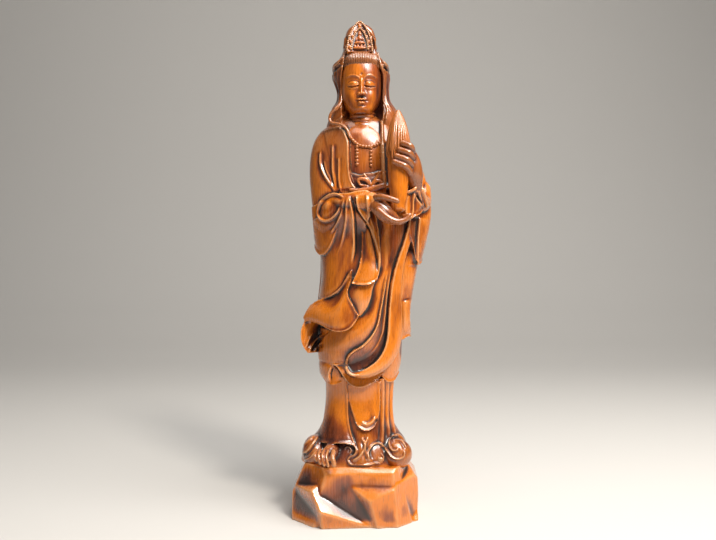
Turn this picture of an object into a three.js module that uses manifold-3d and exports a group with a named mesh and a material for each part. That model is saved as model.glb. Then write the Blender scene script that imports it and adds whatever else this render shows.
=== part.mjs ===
// A standing Guanyin figure, carved with its rock from one block of wood.
// Millimetres, +Z up. The origin is the middle of the underside and the figure faces -Y.
import * as THREE from "three";
import { mergeVertices } from "three/addons/utils/BufferGeometryUtils.js";
import Module from "manifold-3d";

const wasm = await Module();
wasm.setup();

// Driving dimensions
const rock = { width: 100, depth: 86, height: 44 };
const figure = { height: 354 };
const bundle = { length: 77, radius: 8.2, footRadius: 5.2 };
const finger = { radius: 2.3 };
const bead = { radius: 1.3 };

// The carving is laid out on a canon 354 units tall that stands on a ground line at 44,
// and one unit is one millimetre at the real height.
const canon = { ground: 44, height: 354 };
const unit = figure.height / canon.height;
const at = (x, y, z) =>
  new THREE.Vector3(x * unit, y * unit, rock.height + (z - canon.ground) * unit);

const radians = THREE.MathUtils.degToRad;
const clamp = THREE.MathUtils.clamp;
const mix = THREE.MathUtils.lerp;
const smooth = THREE.MathUtils.smoothstep;
const count = (length, make) => Array.from({ length }, (_, i) => make(i));

// A closed geometry as a solid that can be joined and cut; corners closer than the weld become one
const weld = 0.03;
function solid(geometry) {
  const plain = geometry.clone();
  plain.deleteAttribute("normal");
  plain.deleteAttribute("uv");
  const merged = mergeVertices(plain, 1e-4);
  return new wasm.Manifold(
    new wasm.Mesh({
      numProp: 3,
      vertProperties: merged.attributes.position.array,
      triVerts: new Uint32Array(merged.index.array),
      tolerance: weld,
    }),
  );
}

const join = (solids) => solids.reduce((whole, piece) => whole.add(piece));

// A skin over rings of points that run counterclockwise seen from above, from the lowest ring to the
// highest. A fan of faces closes a round ring; a ring that runs there and back is closed by faces across it.
function loft(rings, { thereAndBack = false } = {}) {
  const around = rings[0].length;
  const points = rings.flat();
  const top = (rings.length - 1) * around;
  const faces = [];
  for (let i = 0; i < around; i++) {
    const next = (i + 1) % around;
    for (let low = 0; low < top; low += around) {
      faces.push(low + i, low + next, low + around + i);
      faces.push(low + next, low + around + next, low + around + i);
    }
  }
  if (thereAndBack) {
    for (let i = 0; i < around / 2 - 1; i++) {
      const across = around - 1 - i;
      faces.push(i, across, i + 1, i + 1, across, across - 1);
      faces.push(top + i, top + i + 1, top + across, top + i + 1, top + across - 1, top + across);
    }
  } else {
    for (const [ring, low] of [[rings[0], 0], [rings.at(-1), top]]) {
      points.push(ring.reduce((sum, p) => sum.add(p), new THREE.Vector3()).divideScalar(around));
      const middle = points.length - 1;
      for (let i = 0; i < around; i++) {
        const next = (i + 1) % around;
        faces.push(middle, low + (low ? i : next), low + (low ? next : i));
      }
    }
  }
  const geometry = new THREE.BufferGeometry().setFromPoints(points);
  geometry.setIndex(faces);
  return geometry;
}

// Rows of numbers as functions of their first column, smooth between the rows
function smoothTable(rows) {
  const slope = (i, k) => {
    const before = rows[Math.max(i - 1, 0)];
    const after = rows[Math.min(i + 1, rows.length - 1)];
    return (after[k] - before[k]) / (after[0] - before[0]);
  };
  return (s) => {
    const t = clamp(s, rows[0][0], rows.at(-1)[0]);
    const i = clamp(rows.findIndex((row) => row[0] >= t) - 1, 0, rows.length - 2);
    const span = rows[i + 1][0] - rows[i][0];
    const u = (t - rows[i][0]) / span;
    const rise = u * u * (3 - 2 * u);
    const leave = u * (1 - u) * (1 - u) * span;
    const arrive = u * u * (u - 1) * span;
    return rows[i].slice(1).map((value, n) => {
      const k = n + 1;
      const step = rows[i + 1][k] - value;
      return value + step * rise + slope(i, k) * leave + slope(i + 1, k) * arrive;
    });
  };
}

// Evenly spaced values as one smooth function from 0 to 1
function spread(values) {
  const table = smoothTable(values.map((value, i) => [i / (values.length - 1), value]));
  return (s) => table(s)[0];
}

// An upright form whose level sections are ellipses, from rows of height, left, right, front and back
function uprightForm(rows) {
  const table = smoothTable(rows);
  return (z) => {
    const [left, right, front, back] = table(z);
    return {
      x: (left + right) / 2,
      y: (front + back) / 2,
      halfWidth: (right - left) / 2,
      halfDepth: (back - front) / 2,
    };
  };
}

// A place off an upright form, by its turn from the front in radians and its height
function around(form, turn, z, off = 0) {
  const { x, y, halfWidth, halfDepth } = form(z);
  return [x + (halfWidth + off) * Math.sin(turn), y - (halfDepth + off) * Math.cos(turn), z];
}

// A bar through the points [x, y, z, radius], flatter or fuller along one direction by the share flat
function bar(points, { sides = 6, steps = 5, flat = 1 } = {}) {
  const curve = new THREE.CatmullRomCurve3(points.map(([x, y, z]) => at(x, y, z)), false, "centripetal");
  const radius = spread(points.map((point) => point[3] * unit));
  const { tangents, normals, binormals } = curve.computeFrenetFrames(steps, false);
  const ring = (k, share, push) =>
    count(sides, (i) => {
      const turn = (2 * Math.PI * i) / sides;
      const r = radius(k / steps);
      return curve
        .getPoint(k / steps)
        .addScaledVector(normals[k], Math.cos(turn) * r * share * flat)
        .addScaledVector(binormals[k], Math.sin(turn) * r * share)
        .addScaledVector(tangents[k], push * r);
    });
  const rings = [ring(0, 0.6, -0.7), ...count(steps + 1, (k) => ring(k, 1, 0)), ring(steps, 0.6, 0.7)];
  return solid(loft(rings));
}

// A ball stretched to its three half sizes
function ball([x, y, z], [a, b, c], { sides = 10, levels = 6 } = {}) {
  const geometry = new THREE.SphereGeometry(unit, sides, levels).rotateX(Math.PI / 2).scale(a, b, c);
  const centre = at(x, y, z);
  return solid(geometry.translate(centre.x, centre.y, centre.z));
}

// The rock: boulders with flat facets, each facet given by its turn from the front, its tilt upwards
// and its distance from the middle of the underside of a block 100 wide, 86 deep and 44 tall
const block = { width: 100, depth: 86, height: 44 };
const boulders = {
  heart: [[0, 0, 39], [60, 0, 43], [120, 0, 41], [180, 0, 39], [-120, 0, 41], [-60, 0, 43], [0, 90, 42]],
  slab: [
    [0, 4, 42.6], [0, 37, 55.2], [-13, -10, 36.9], [-45, 8, 50], [-90, 23, 55.4], [-90, 0, 50.5],
    [-140, 0, 47], [180, 4, 41.5], [135, 0, 46], [90, 0, 45.5], [45, 12, 46.5], [90, -40, 15],
    [180, -30, 24], [0, 90, 44],
  ],
  left: [
    [-8, 0, 44], [26, 30, 36.7], [100, 58, 6.8], [-45, 4, 50], [-90, -14, 46.6], [-90, 0, 51],
    [-90, 23, 55.4], [-50, 32, 54], [-130, 6, 47], [180, 3, 42],
  ],
  right: [
    [0, 0, 43], [5, 50, 43.3], [-68, -30, -3.7], [45, 0, 46], [70, 8, 49.5], [90, 0, 49], [90, 50, 51.5],
    [130, 0, 48], [160, 40, 50], [180, 0, 43],
  ],
};

function boulder(facets) {
  const reach = 2 * block.width;
  const slice = new THREE.BoxGeometry(2 * reach, 2 * reach, reach);
  let stone = solid(new THREE.BoxGeometry(reach, reach, block.height).translate(0, 0, block.height / 2));
  for (const [turn, tilt, distance] of facets) {
    const outwards = new THREE.Vector3(
      Math.sin(radians(turn)) * Math.cos(radians(tilt)),
      -Math.cos(radians(turn)) * Math.cos(radians(tilt)),
      Math.sin(radians(tilt)),
    );
    const place = new THREE.Matrix4().makeRotationFromQuaternion(
      new THREE.Quaternion().setFromUnitVectors(new THREE.Vector3(0, 0, 1), outwards),
    );
    place.setPosition(outwards.multiplyScalar(distance + reach / 2));
    stone = stone.subtract(solid(slice.clone().applyMatrix4(place)));
  }
  return stone;
}

function rockSolid() {
  const stone = join(Object.values(boulders).map(boulder));
  return stone.scale([rock.width / block.width, rock.depth / block.depth, rock.height / block.height]);
}

// The robe: the form inside its cloth, as height, left, right, front and back
const robeForm = uprightForm([
  [34, -36, 38, -30, 31],
  [48, -37, 39, -29, 31],
  [56, -33, 36, -28, 29],
  [66, -28, 31, -25, 26],
  [78, -26, 30, -24, 25],
  [92, -24.5, 29.5, -23, 24],
  [106, -25, 30, -23.5, 24],
  [120, -27, 33, -25, 25],
  [136, -28, 35, -26, 25],
  [154, -28, 38, -27, 26],
  [172, -27.5, 39, -27.5, 26],
  [192, -26.5, 42.5, -27, 26],
  [208, -27.5, 46, -26, 25],
  [228, -31, 51, -25, 24],
  [244, -35, 54, -24, 23],
  [260, -37, 53, -23, 22.5],
  [275, -38, 51, -21.5, 22],
  [290, -37, 47, -20, 21],
  [301, -34, 43.5, -18, 19.5],
  [309, -28.5, 39, -15.5, 17.5],
  [315, -20, 32, -12.5, 15.5],
  [320, -9, 19, -8.5, 12],
]);

// The turn at which a surface off a form passes through x, seen from the front
function turnOf(form, x, z, off = 0) {
  const level = form(z);
  return Math.asin(clamp((x - level.x) / (level.halfWidth + off), -1, 1));
}

const onFront = (x, z, off) => around(robeForm, turnOf(robeForm, x, z, off), z, off);

// Down the back the mantle hangs in long folds to a scalloped hem, over the pleats of the skirt
const back = {
  from: 106, to: 254, folds: 5, foldDepth: 4, hem: 124, scallop: 11, lip: 4.5, pleats: 6, pleatDepth: 3,
};

function backRelief(turn, z) {
  const degrees = (THREE.MathUtils.radToDeg(turn) + 360) % 360;
  const inside =
    smooth(degrees, back.from - 14, back.from + 8) * (1 - smooth(degrees, back.to - 8, back.to + 14));
  const share = (degrees - back.from) / (back.to - back.from);
  const crest = Math.abs(Math.sin(Math.PI * (back.folds * share + 0.3 * Math.sin(z / 40))));
  const hang = 1 - smooth(z, back.hem, 310);
  const fold = back.foldDepth * crest * (0.35 + 0.65 * hang) * (1 - smooth(z, 292, 314));
  const pleat = back.pleatDepth * Math.abs(Math.sin(Math.PI * back.pleats * share));
  const edge = back.hem - back.scallop * crest;
  return inside * mix(pleat, back.lip * hang + fold, smooth(z, edge - 3, edge));
}

function robeBody() {
  const front = count(5, (i) => radians(-60 + 30 * i));
  const behind = count(17, (i) => radians(80 + 12.5 * i));
  const heights = [34, 57, 86, 108, 113, 119, 125, 148, 172, 198, 224, 250, 276, 298, 311, 320];
  const rings = heights.map((z) =>
    [...front, ...behind].map((turn) => at(...around(robeForm, turn, z, backRelief(turn, z)))),
  );
  return solid(loft(rings));
}

// A piece of cloth between a left and a right edge, which run downwards through [x, z] seen from the front,
// and a top and a hem, which run from left to right and are straight where they aren't given. Its lifts are
// how far it stands off the robe's form, in rows from top to bottom, each from left to right. Cloth that
// swings clear of the form has depths in y instead, and is thick units through. A hollow is cut under a hem
// that stands free.
const clothThickness = 1.6;
const clothInside = -5;

function drape(cloth) {
  const { left, right, lifts, depths, thick = 7, folds = 0, foldDepth = 1.6, hollow = 0 } = cloth;
  const { top = [left[0], right[0]], hem = [left.at(-1), right.at(-1)], columns = 3, rows = 4 } = cloth;
  const edge = (path) => new THREE.SplineCurve(path.map(([x, z]) => new THREE.Vector2(x, z)));
  const [leftEdge, rightEdge, topEdge, hemEdge] = [left, right, top, hem].map(edge);
  const valueRows = (lifts ?? depths).map(spread);
  const value = (u, t) => spread(valueRows.map((row) => row(u)))(t);
  const flat = ({ x, y: z }, off) => new THREE.Vector2(lifts ? turnOf(robeForm, x, z, off) : x, z);
  const upper = (u) => flat(topEdge.getPointAt(u), value(u, 0));
  const lower = (u) => flat(hemEdge.getPointAt(u), value(u, 1));
  const place = (u, t) => {
    const from = flat(leftEdge.getPointAt(t), value(0, t));
    const to = flat(rightEdge.getPointAt(t), value(1, t));
    const corners = upper(0).lerp(upper(1), u).lerp(lower(0).lerp(lower(1), u), t);
    return upper(u).lerp(lower(u), t).add(from.lerp(to, u)).sub(corners);
  };
  const raised = (u) => (folds ? foldDepth * (Math.abs(Math.sin(Math.PI * folds * u)) - 0.4) : 0);
  const pair = (u, t, thinner) => {
    const { x, y: z } = place(u, t);
    const proud = raised(u) - thinner;
    if (lifts) {
      const outer = at(...around(robeForm, x, z, Math.max(value(u, t) + proud, clothInside + 0.5)));
      return [outer, at(...around(robeForm, x, z, clothInside))];
    }
    const form = robeForm(z);
    const inwards = new THREE.Vector3(form.x - x, form.y - value(u, t), 0).normalize();
    return [-proud, thick].map((step) => at(x, value(u, t), z).addScaledVector(inwards, step * unit));
  };
  const ring = (t, thinner = 0) => {
    const pairs = count(columns + 1, (i) => pair(i / columns, t, thinner));
    return [...pairs.map(([outer]) => outer), ...pairs.reverse().map(([, inner]) => inner)];
  };
  const rings = count(rows + 1, (j) => ring(1 - j / rows));
  if (hollow) rings.unshift(ring(1 - hollow, 3 * clothThickness), ring(1, clothThickness));
  return solid(loft(rings, { thereAndBack: true }));
}

// A raised line on the robe through [x, z] seen from the front
const ridge = (path, radius, off) =>
  bar(path.map(([x, z]) => [...onFront(x, z, off), radius]), { sides: 4, steps: 4 });

// The skirt: the cloth over the leg, the middle drape, the pouch that hangs over it and the pleats beside it
const skirt = [
  { left: [[-24, 112], [-24.7, 92], [-26, 79], [-30.5, 59.5]],
    right: [[-8, 112], [-6.5, 93], [-4, 70], [0, 59]],
    hem: [[-30.5, 59.5], [-21, 61], [-11, 61.8], [0, 59]],
    lifts: [[1.5, 3, 3], [1, 3, 3], [2, 5, 4], [5, 9, 6]], hollow: 0.14, rows: 3 },
  { left: [[-8, 108], [-7, 78], [-4, 66], [-1, 57], [-6, 47]],
    right: [[20, 110], [19, 80], [16, 62], [11, 56], [14, 46]],
    lifts: [[1, 1.5, 1], [1.5, 2, 1.5], [2, 5, 3], [7, 9, 7]] },
  { left: [[-6.5, 108], [-5, 92], [0, 79]], right: [[20, 108], [19, 90], [16.5, 79]],
    hem: [[0, 79], [3, 75], [8, 72.5], [12.5, 73.5], [16.5, 79]],
    lifts: [[2, 2.5, 2.5], [2.5, 3.5, 4], [3, 6, 5]], hollow: 0.12, rows: 2, columns: 4 },
  { left: [[19, 110], [19.5, 86], [17, 58]], right: [[31, 112], [30, 84], [34, 58]],
    lifts: [[2.5, 2.5, 2], [2.5, 2.5, 2.5], [3, 3.5, 4]], folds: 3, foldDepth: 2.2, columns: 6, rows: 2 },
];

// The ruffled hem of the robe above the skirt
const hems = [
  { left: [[-30, 150], [-30, 126], [-30.5, 116], [-24.5, 107]],
    right: [[-3, 146], [-7, 128], [-9, 116], [-10, 108]],
    hem: [[-24.5, 107], [-20, 105.5], [-15, 106], [-10, 108]],
    lifts: [[1, 3, 3], [3, 5, 4], [4, 6, 3]], hollow: 0.14, rows: 3 },
  { left: [[-10, 130], [-16, 123], [-12, 117], [-6, 107]], right: [[30, 130], [26, 120], [21, 114]],
    hem: [[-6, 107], [2, 104.5], [10, 106], [21, 114]],
    lifts: [[3, 3, 3], [5, 4, 3], [5, 6, 3]], hollow: 0.16, rows: 3 },
  { left: [[24, 128], [21.5, 118], [21, 112]], right: [[34, 142], [36, 120], [34.5, 113]],
    hem: [[21, 112], [25, 107.5], [30, 107.5], [34.5, 113]],
    lifts: [[2, 3, 3], [3, 5, 4]], hollow: 0.2, rows: 2 },
];

// The robe sweeps from under the bundle down to the left: a broad fall, a hollow tongue and a round outer
// band, with one more fall behind the band
const fallEdge = [
  [24, 194], [21, 174], [17, 154], [8, 139.5], [-2, 133], [-6, 128.5], [-7.5, 122],
];
const tongueEdge = [
  [28.5, 194], [25, 171], [24.5, 161], [19.5, 136], [15.5, 128], [9, 122], [2, 119.5], [-6.5, 123.5],
];
const robeHem = [
  [37, 197], [36.5, 165], [37, 147], [30.5, 127], [19.5, 118], [3.5, 114], [-6.5, 119], [-8, 124.5],
];
const sweep = [
  { left: [[17, 192], [11, 181.5], [4, 162], [-6, 154], [-20, 148], [-29, 138], [-30.5, 126]],
    right: fallEdge.map(([x, z]) => [x + 0.5, z - 0.5]),
    lifts: [[3, 4, 4], [3, 5, 5], [3, 6, 6], [3.5, 6, 6], [4, 5.5, 5.5]], rows: 6, columns: 2 },
  { left: fallEdge, right: tongueEdge, rows: 6, columns: 2,
    lifts: [[4, 3.5, 4], [4.5, 2.5, 5], [5.5, 3, 6.5], [6.5, 4, 8]] },
  { left: [tongueEdge.at(-1), robeHem.at(-1)], right: [tongueEdge[0], robeHem[0]],
    top: tongueEdge.toReversed(), hem: robeHem.toReversed(),
    lifts: [[9.5, 8, 5, 4], [13, 12, 8, 5], [12.5, 12, 7.5, 4.5]], hollow: 0.3, rows: 2, columns: 8 },
  { left: [[40, 206], [36, 170], [37, 141]], right: [[50, 206], [50.5, 183], [44.5, 169], [45.5, 142]],
    lifts: [[4, 5, 6], [4, 6, 6.5], [4, 6, 7], [5, 7, 9]], hollow: 0.06, columns: 2 },
];

// The sleeve that hangs from the forearm: its fall, the shorter outer layer, the lobe and the inner cloth
// under its flared end, the flare, the tongue and the front panel over that
const hangingSleeve = [
  { top: [[-31, 250], [-16, 256], [0, 257], [13, 255]],
    left: [[-31, 250], [-33, 232], [-29.5, 205], [-33, 172]],
    right: [[13, 255], [5.5, 220], [-1, 190], [-8, 180]],
    lifts: [[2, 7, 11, 14], [1, 8, 12, 14], [0.5, 6, 7, 7], [0.5, 5, 6, 6], [0.5, 5, 6, 6], [2, 5, 6, 6]] },
  { top: [[-36, 247], [-24, 251], [-10, 252.5]], left: [[-36, 247], [-35, 232], [-33.5, 215]],
    right: [[-10, 252.5], [-9.5, 251]],
    hem: [[-33.5, 215], [-26, 216.5], [-17.5, 225], [-11, 243], [-9.5, 251]],
    lifts: [[3, 6, 7], [4, 8, 8], [5, 8, 8]], hollow: 0.16, rows: 2 },
  { left: [[-41.5, 157], [-44.5, 147], [-43.5, 139], [-38.5, 129.5]],
    right: [[-30, 155], [-33.5, 146], [-34.5, 132], [-37, 129.5]],
    depths: [[-11, -18, -17], [-9, -18, -14], [-8, -16, -12]], thick: 6, columns: 2, rows: 3 },
  { left: [[-37, 153], [-37.5, 140], [-36, 129]], right: [[-12, 150], [-14, 138], [-20, 126]],
    depths: [[-13, -20, -27], [-12, -19, -27], [-11, -19, -26]], thick: 9, columns: 2, rows: 2 },
  { top: [[-37, 168], [-27.5, 173], [-12.5, 181.5], [-4, 196]],
    left: [[-37, 168], [-40.5, 162.5], [-42.5, 157.5], [-41.5, 154.5]],
    right: [[-4, 196], [-6.5, 180], [-3, 170], [2.5, 160.5]],
    hem: [[-41.5, 154.5], [-32.5, 154.5], [-18, 149], [-7.5, 149.5], [2.5, 160.5]],
    depths: [[-8, -17, -26, -32], [-12, -25, -34, -34], [-13, -28, -38, -35]],
    thick: 12, hollow: 0.28, columns: 6, rows: 3 },
  { left: [[-4, 188], [-6.5, 180], [-3, 170], [2.5, 160.5]], right: [[16, 190], [11, 181], [3.5, 160.5]],
    lifts: [[6, 5, 6], [6, 4.5, 5.5], [6, 6, 6]], rows: 3 },
  { left: [[0, 256], [4, 236.5], [4, 208], [-3.5, 185.5]],
    right: [[8, 255], [14, 237], [19, 204], [16.5, 188.5]],
    hem: [[-3.5, 185.5], [4, 184.3], [16.5, 188.5]], lifts: [[7, 8, 5], [7, 8, 6], [8, 9, 8]], hollow: 0.07 },
];

// The mantle over the chest and the arms, and the other sleeve with its wide mouth
const mantle = [
  { left: [[-26, 309], [-22, 290], [-15, 260]], right: [[-9, 312], [-4, 299], [-3.5, 280], [1, 260]],
    lifts: [[0.5, 2.5, 4], [0.5, 2.5, 4]] },
  { left: [[20.5, 316], [20.5, 300], [21, 280], [22, 260]], right: [[36, 308], [42, 290], [44, 262]],
    lifts: [[4, 1.5, 0.5], [4, 2, 0.5]], columns: 2, rows: 3 },
  { left: [[39, 264], [38, 250], [40, 231]], right: [[55, 276], [59.5, 259], [61, 244], [55.5, 205]],
    hem: [[40, 231], [46, 214], [49.5, 200], [55.5, 205]],
    lifts: [[4, 4, 4.5], [5, 6, 8], [5, 7, 9]], hollow: 0.05 },
  { left: [[39, 242], [38.5, 224], [28, 182]], right: [[50, 242], [48.5, 210], [42, 182]],
    lifts: [[5, 6, 5], [5, 6, 5], [4.5, 6, 4]], columns: 2, rows: 3 },
  { top: [[40.5, 255.5], [45, 258.5], [50, 268]], left: [[40.5, 255.5], [38.5, 248.5], [40, 233.5]],
    right: [[50, 268], [54, 251], [52.5, 243]], hem: [[40, 233.5], [47.5, 238], [52.5, 243]],
    depths: [[-37, -35, -28], [-37, -34, -24], [-37, -34, -22]],
    thick: 9, hollow: 0.14, rows: 3, columns: 3 },
];
const armRidges = [
  [[-28.5, 292], [-28.5, 281.5], [-22, 266.5], [-16.5, 257.5]],
  [[-18.5, 297], [-18.5, 276], [-16, 258]],
  [[-13.5, 286], [-13.5, 267], [-11, 255]],
];

function robeSolid() {
  const cloth = [...skirt, ...hems, ...sweep, ...hangingSleeve, ...mantle];
  return join([robeBody(), ...cloth.map(drape), ...armRidges.map((path) => ridge(path, 1.7, 0.6))]);
}

// The sleeves' tops over the forearms, the loop that the near one falls in at the elbow, and its curled tip
function sleeveTops() {
  return join([
    bar([[-22, -16, 250, 4.5], [-8, -27, 248, 7], [6, -33, 248, 6.5], [14, -38, 248, 5.5]],
      { sides: 7, steps: 3 }),
    bar([[-10, -33, 253.5, 1.2], [-17.5, -30, 254.5, 1.6], [-27, -24, 250, 1.8], [-28, -22, 237.5, 1.8],
      [-19, -28, 236.5, 1.6], [-15, -30, 241, 1.2]], { sides: 4, steps: 7 }),
    bar([[-32, -12, 218, 1.4], [-33, -13, 212, 2], [-26.5, -18, 208, 2], [-22.5, -21, 211, 1.4]],
      { sides: 4 }),
    bar([[53, -2, 262, 8], [52.5, -12, 248, 8.5], [49.5, -23, 251, 8], [46.5, -32, 259, 6.5]],
      { sides: 7 }),
  ]);
}

// Hands: a palm each, with the fingers given by their knuckles and tips
const hands = {
  palm: [[9, -37, 247.5, 5], [16, -41.5, 243.5, 6], [21, -43.5, 238, 6.2], [26.5, -43, 234, 4.6]],
  thumb: [[13, -43.5, 249.5], [20, -48.5, 251], [31.5, -50.5, 249.5]],
  back: [[46.5, -29, 257, 5], [45.5, -35, 264, 5.6], [44.5, -38.5, 271, 6.8], [43, -40, 281, 5.8]],
  knuckles: [[43, 285], [44, 279.5], [43.8, 274], [42.5, 268.5]],
  tips: [[35.7, 291.5], [33.4, 286.5], [30.8, 281.8], [29.2, 277.5]],
};

function handSolids() {
  const r = finger.radius / unit;
  const digit = (points, size) =>
    bar(points.map(([x, y, z], i) => [x, y, z, r * size * (1 - 0.1 * i)]), { sides: 5, steps: 3 });
  const under = (i) =>
    digit([[18, -48 + 4 * i, 239.5 - i / 3], [25, -50.5 + 4 * i, 233.4 - i / 3],
      [32, -50.5 + 4 * i, 231.8], [39.5 - i, -49.5 + 4 * i, 235]], 1.1);
  const over = ([tipX, tipZ], i) => {
    const [x, z] = hands.knuckles[i];
    const bend = [(x + tipX) / 2 + 1.8, -48.5, (z + tipZ) / 2 + 0.6];
    return digit([[x, -41.5, z], bend, [tipX, -47.5, tipZ]], 1.16);
  };
  return join([
    bar(hands.palm, { flat: 1.1, steps: 4 }),
    digit(hands.thumb, 1.3),
    ...count(4, under),
    bar(hands.back, { steps: 4 }),
    ...hands.tips.map(over),
  ]);
}

// The bundle held in the arm, with the strands that fall over its top
const bundleFoot = [32.5, -41.5, 240];

function bundleSolid() {
  const { length, radius, footRadius } = bundle;
  const outline = [[0, 0], [footRadius * 0.8, 0], [footRadius, 0.03], [radius * 0.93, 0.3], [radius, 0.55],
    [radius * 0.85, 0.75], [radius * 0.58, 0.88], [0, 1]];
  const profile = outline.map(([r, share]) => new THREE.Vector2(r, share * length));
  const lean = new THREE.Matrix4().makeTranslation(at(...bundleFoot));
  lean.multiply(new THREE.Matrix4().makeRotationX(radians(-4)));
  const stem = new THREE.LatheGeometry(profile, 11).rotateX(Math.PI / 2).applyMatrix4(lean);
  const strand = (i) => {
    const turn = radians(-92 + 46 * i);
    const shape = [[0.12, 0.98, 1], [0.65, 0.88, 1.7], [1, 0.7, 1.8], [1.08, 0.58 + 0.03 * (i % 3), 1.2]];
    return shape.map(([out, share, thickness]) => {
      const place = new THREE.Vector3(Math.sin(turn), -Math.cos(turn), 0).multiplyScalar(out * radius / unit);
      const [x, y, z] = bundleFoot;
      return [x + place.x, y + place.y, z + (share * length) / unit, thickness];
    });
  };
  return join([solid(stem), ...count(5, (i) => bar(strand(i), { sides: 4, steps: 3 }))]);
}

// The hood: its form, and the opening at its front as height, left, right and depth
const hoodForm = uprightForm([
  [292, -21, 33, -10, 17],
  [306, -24, 38, -16, 19.5],
  [313, -23.5, 38, -17, 19.5],
  [321, -20.5, 35, -17, 18.5],
  [328, -18.5, 31, -16.5, 18],
  [334, -15, 27, -16.5, 18],
  [341, -14.5, 26, -16.5, 19],
  [349, -17, 26.5, -16.5, 21],
  [356, -19.5, 27.5, -16.5, 22.5],
  [362, -20, 27, -16, 22.5],
  [366, -18.5, 25.5, -15.5, 22],
  [369, -14, 21.5, -15, 21],
  [371.5, -11.6, 19, -14.5, 20.5],
  [378, -10.3, 17, -13, 18.5],
  [386, -9, 16, -10.5, 15],
  [393, -5.5, 13, -6, 10.5],
  [397, 0.5, 7.5, -2, 5],
]);
const hoodOpening = smoothTable([
  [292, -9, 19, -9],
  [306, -10, 21, -8],
  [313, -11, 21, -3],
  [322, -11, 22, -1],
  [333, -11, 22, 0],
  [351, -11.5, 22, 0],
  [365, -8.5, 18.5, -2],
  [380, -7.5, 16, -2],
  [388, -5, 13, -5],
  [393, -2, 10, -5.5],
  [397, 3, 5, -1.9],
]);

function hoodSolid() {
  const heights = [292, 306, 313, 321, 328, 335, 345, 354, 362, 367, 371, 379, 388, 394, 397];
  const rings = heights.map((z) => {
    const [left, right, depth] = hoodOpening(z);
    const start = turnOf(hoodForm, right, z);
    const span = 2 * Math.PI - start + turnOf(hoodForm, left, z);
    const shell = count(14, (i) => at(...around(hoodForm, start + (span * i) / 13, z)));
    const lining = [left + 1, (left + right) / 2, right - 1].map((x) => at(x, depth, z));
    return [...shell, ...lining];
  });
  return solid(loft(rings));
}

// The collar where the hood curls out over the shoulder
function collarSolid() {
  const rim = [[-13, 330], [-16.5, 325], [-20, 319], [-20, 313.5], [-14.5, 309], [-9, 307]];
  const path = rim.map(([x, z]) => [...around(hoodForm, turnOf(hoodForm, x, z), z, 0.6), 1.7]);
  return bar(path, { sides: 4, steps: 6 });
}

// The head, with its features placed by thirds from the chin to the hairline
const head = { middle: 4.4, chin: 321, hairline: 359.4, halfWidth: 15, front: -21.5 };

function headSolid() {
  const { middle, chin, hairline, halfWidth, front } = head;
  const third = (hairline - chin) / 3;
  const noseBase = chin + third;
  const brow = chin + 2 * third;
  const eyes = brow - 0.3 * third;
  const mouth = noseBase - 0.36 * third;
  const small = { sides: 5, steps: 2 };
  const line = (points) => bar(points.map(([x, y, z, r]) => [middle + x, front + y, z, r]), small);
  const pair = (make) => [-1, 1].map(make);
  return join([
    ball([middle, front + 17.5, (chin + hairline) / 2 + 3], [halfWidth, 17.5, 20], { sides: 11, levels: 6 }),
    ball([middle, front + 11, chin + 0.62 * third], [0.68 * halfWidth, 10.5, 0.7 * third],
      { sides: 8, levels: 5 }),
    line([[0, 1, brow, 1.2], [0, -0.5, eyes - 2, 1.5], [0, -1.6, noseBase + 1, 2.2]]),
    line([[-3.6, 1.2, mouth, 0.9], [0, 0.2, mouth, 1.6], [3.6, 1.2, mouth, 0.9]]),
    ...pair((side) => line([[side * 3, 1.8, eyes, 1], [side * 6, 2, eyes, 1.9], [side * 9.4, 4.4, eyes, 1]])),
    bar([[middle, 2, 306, 13], [middle, 0, 316, 11.2], [middle, -1, 328, 10.5]], { sides: 9, steps: 2 }),
  ]);
}

// The band of hair below the crown, drawn up in strands, and the topknot behind the crown
function hairSolid() {
  const { middle, hairline, halfWidth } = head;
  const strands = 13;
  const levels = [[-4, 1.5], [-1, 0.6], [4, 0], [8, 1.4], [11, 4.5]];
  const band = levels.map(([rise, drawnIn]) =>
    count(2 * strands, (i) => {
      const turn = (Math.PI * i) / strands;
      const r = halfWidth - 0.5 - drawnIn - (i % 2);
      return at(middle + r * Math.sin(turn), -3 - 1.18 * r * Math.cos(turn), hairline + rise);
    }),
  );
  const topknot = ball([middle, 0, hairline + 16], [0.72 * halfWidth, 11, 12]);
  return solid(loft(band)).add(topknot);
}

// The crown: a flame with a small seated figure in its hollow, leaning back
const crown = { foot: [3.6, -16.5, 369.2], width: 20, height: 29, lean: 17, thickness: 4.2, rim: 1.4 };

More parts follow.
